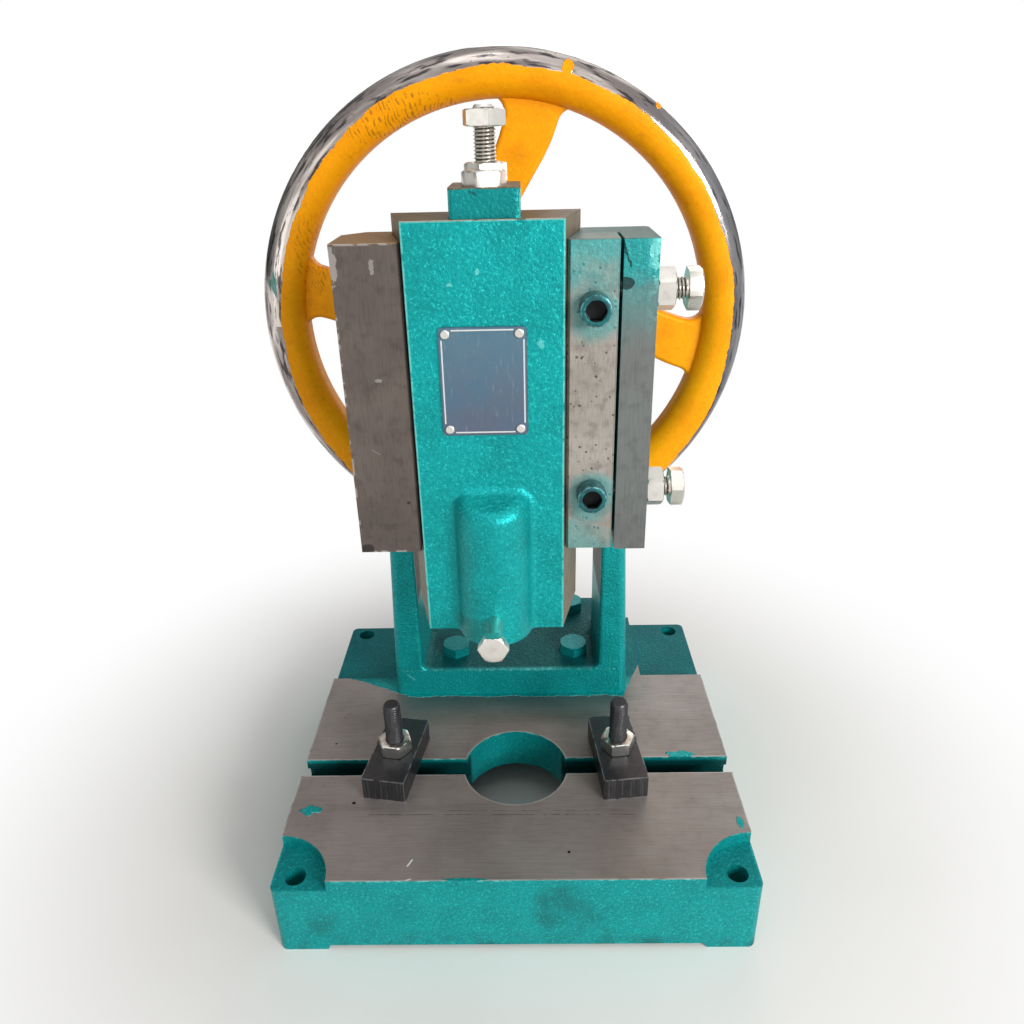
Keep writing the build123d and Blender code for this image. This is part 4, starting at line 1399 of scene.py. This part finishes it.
@dataclass
class Studio:
    """Floor, lamps, sky and the camera.

    Attributes:
        camera_place: where the photographer stood, in metres.
        pitch, yaw, roll: the camera's turn in degrees.
        lens: focal length in millimetres on a 36 mm sensor.
        aim: the point that every lamp looks at, in metres.
        floor_reach: half the floor's side in metres.
    """

    camera_place: Triple = (0.0088, -0.40707, 0.39323)
    pitch: float = 25.67
    yaw: float = 1.16
    roll: float = 1.38
    lens: float = 28.77
    aim: Triple = (0.0, 0.0, 0.2)
    floor_reach: float = 8.0

    def camera(self) -> None:
        """Stand the camera where the photographer stood."""
        pitch, yaw, roll = (math.radians(value) for value in (self.pitch, self.yaw, self.roll))
        level = math.cos(pitch)
        forward = Vector((-math.sin(yaw) * level, math.cos(yaw) * level, -math.sin(pitch)))
        right = Vector((math.cos(yaw), math.sin(yaw), 0.0))
        down = forward.cross(right)
        across = right * math.cos(roll) + down * math.sin(roll)
        below = down * math.cos(roll) - right * math.sin(roll)
        turn = Matrix((across, -below, -forward)).transposed()
        data = bpy.data.cameras.new("camera")
        data.lens = self.lens
        data.sensor_width = 36.0
        data.clip_start = 0.01
        holder = bpy.data.objects.new("camera", data)
        holder.matrix_world = Matrix.Translation(self.camera_place) @ turn.to_4x4()
        bpy.context.scene.collection.objects.link(holder)
        bpy.context.scene.camera = holder

    def lamp(self, name: str, place: Triple, size: float, power: float) -> None:
        """Hang one soft lamp of a size in metres and a power in watts."""
        data = bpy.data.lights.new(name, "AREA")
        data.size = size
        data.energy = power
        holder = bpy.data.objects.new(name, data)
        holder.location = place
        holder.rotation_euler = (Vector(self.aim) - Vector(place)).to_track_quat("-Z", "Y").to_euler()
        bpy.context.scene.collection.objects.link(holder)

    def floor(self) -> None:
        """Lay a plain pale floor that keeps the shadow nearby and fades into the white background."""
        reach = self.floor_reach
        corners = [(-reach, -reach, 0), (reach, -reach, 0), (reach, reach, 0), (-reach, reach, 0)]
        mesh = bpy.data.meshes.new("floor")
        mesh.from_pydata(corners, [], [(0, 1, 2, 3)])
        ground = bpy.data.objects.new("floor", mesh)
        bpy.context.scene.collection.objects.link(ground)
        graph = Surface("floor")
        cloud = graph.noise(260.0, 3.0)
        inputs = {
            "Base Color": graph.mix(cloud.rise(0.3, 0.7), tone(230, 226, 220), tone(238, 235, 230)),
            "Roughness": 0.5 + cloud * 0.1,
            "Specular IOR Level": 0.2,
        }
        matt = graph.node("ShaderNodeBsdfPrincipled", inputs)
        white = graph.node("ShaderNodeEmission", {"Color": (1.0, 1.0, 1.0), "Strength": 1.0})
        straight = graph.ray("Is Camera Ray").larger(graph.ray("Is Glossy Ray"))
        away = graph.x.reach(graph.y)
        inputs = {0: straight * away.rise(120.0, 400.0), 1: matt.outputs[0], 2: white.outputs[0]}
        blend = graph.node("ShaderNodeMixShader", inputs)
        graph.node("ShaderNodeOutputMaterial", {"Surface": blend.outputs[0]})
        mesh.materials.append(graph.material)

    def glow(
        self, graph: Graph, colour: Colour, toward: Triple, ends: Point, strengths: Point
    ) -> bpy.types.NodeSocket:
        """Make a sky whose strength grows along a direction.

        Args:
            graph: the world's tree.
            colour: the sky's colour.
            toward: the direction.
            ends: how far along it the growth starts and ends.
            strengths: strength at those ends.

        Returns:
            The sky's shader.
        """
        along = graph.node("ShaderNodeVectorMath", {0: graph.place, 1: toward}, operation="DOT_PRODUCT")
        names = ("Value", "From Min", "From Max", "To Min", "To Max")
        inputs = dict(zip(names, (along.outputs["Value"], *ends, *strengths)))
        strength = graph.node("ShaderNodeMapRange", inputs).outputs["Result"]
        return graph.node("ShaderNodeBackground", {"Color": colour, "Strength": strength}).outputs[0]

    def sky(self) -> None:
        """Light the scene from all round: white where it is seen, darker to the left in metal."""
        world = bpy.data.worlds.new("sky")
        bpy.context.scene.world = world
        graph = Graph(world)
        white = (1.0, 1.0, 1.0)
        light = self.glow(graph, (0.95, 0.97, 1.0), (0.3, -0.94, 0.1), (-0.6, 0.9), (0.14, 0.5))
        mirror = self.glow(graph, white, (0.35, -0.4, 0.85), (-0.3, 0.6), (0.14, 1.0))
        seen = graph.node("ShaderNodeBackground", {"Color": white, "Strength": 1.0}).outputs[0]
        inner = graph.node("ShaderNodeMixShader", {0: graph.ray("Is Glossy Ray"), 1: light, 2: mirror})
        inputs = {0: graph.ray("Is Camera Ray"), 1: inner.outputs[0], 2: seen}
        outer = graph.node("ShaderNodeMixShader", inputs)
        graph.node("ShaderNodeOutputWorld", {"Surface": outer.outputs[0]})

    def build(self) -> None:
        """Set up floor, light and camera."""
        self.floor()
        self.sky()
        self.lamp("overhead", (0.1, -0.4, 1.6), 0.9, 3.0)
        self.lamp("front_right", (1.1, -1.3, 0.75), 0.6, 29.0)
        self.lamp("front_left", (-1.3, -1.2, 0.5), 1.0, 2.5)
        self.lamp("back", (0.4, 1.7, 0.7), 1.1, 8.0)
        self.camera()
        bpy.context.scene.view_settings.view_transform = "Standard"


def main() -> None:
    """Build the dressed press."""
    logging.basicConfig(level=logging.INFO, format="%(name)s: %(message)s")
    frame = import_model()
    finishes = Finishes()
    Casting(frame["nodes"], finishes).build()
    Fasteners(
        finishes.plain("zinc_plating", ZINC),
        finishes.plain("black_finish", BLACKED),
        finishes.cap_screws(),
        finishes.plain("groove_oil", OILED),
    ).build()
    Studio().build()


if __name__ == "__main__":
    main()
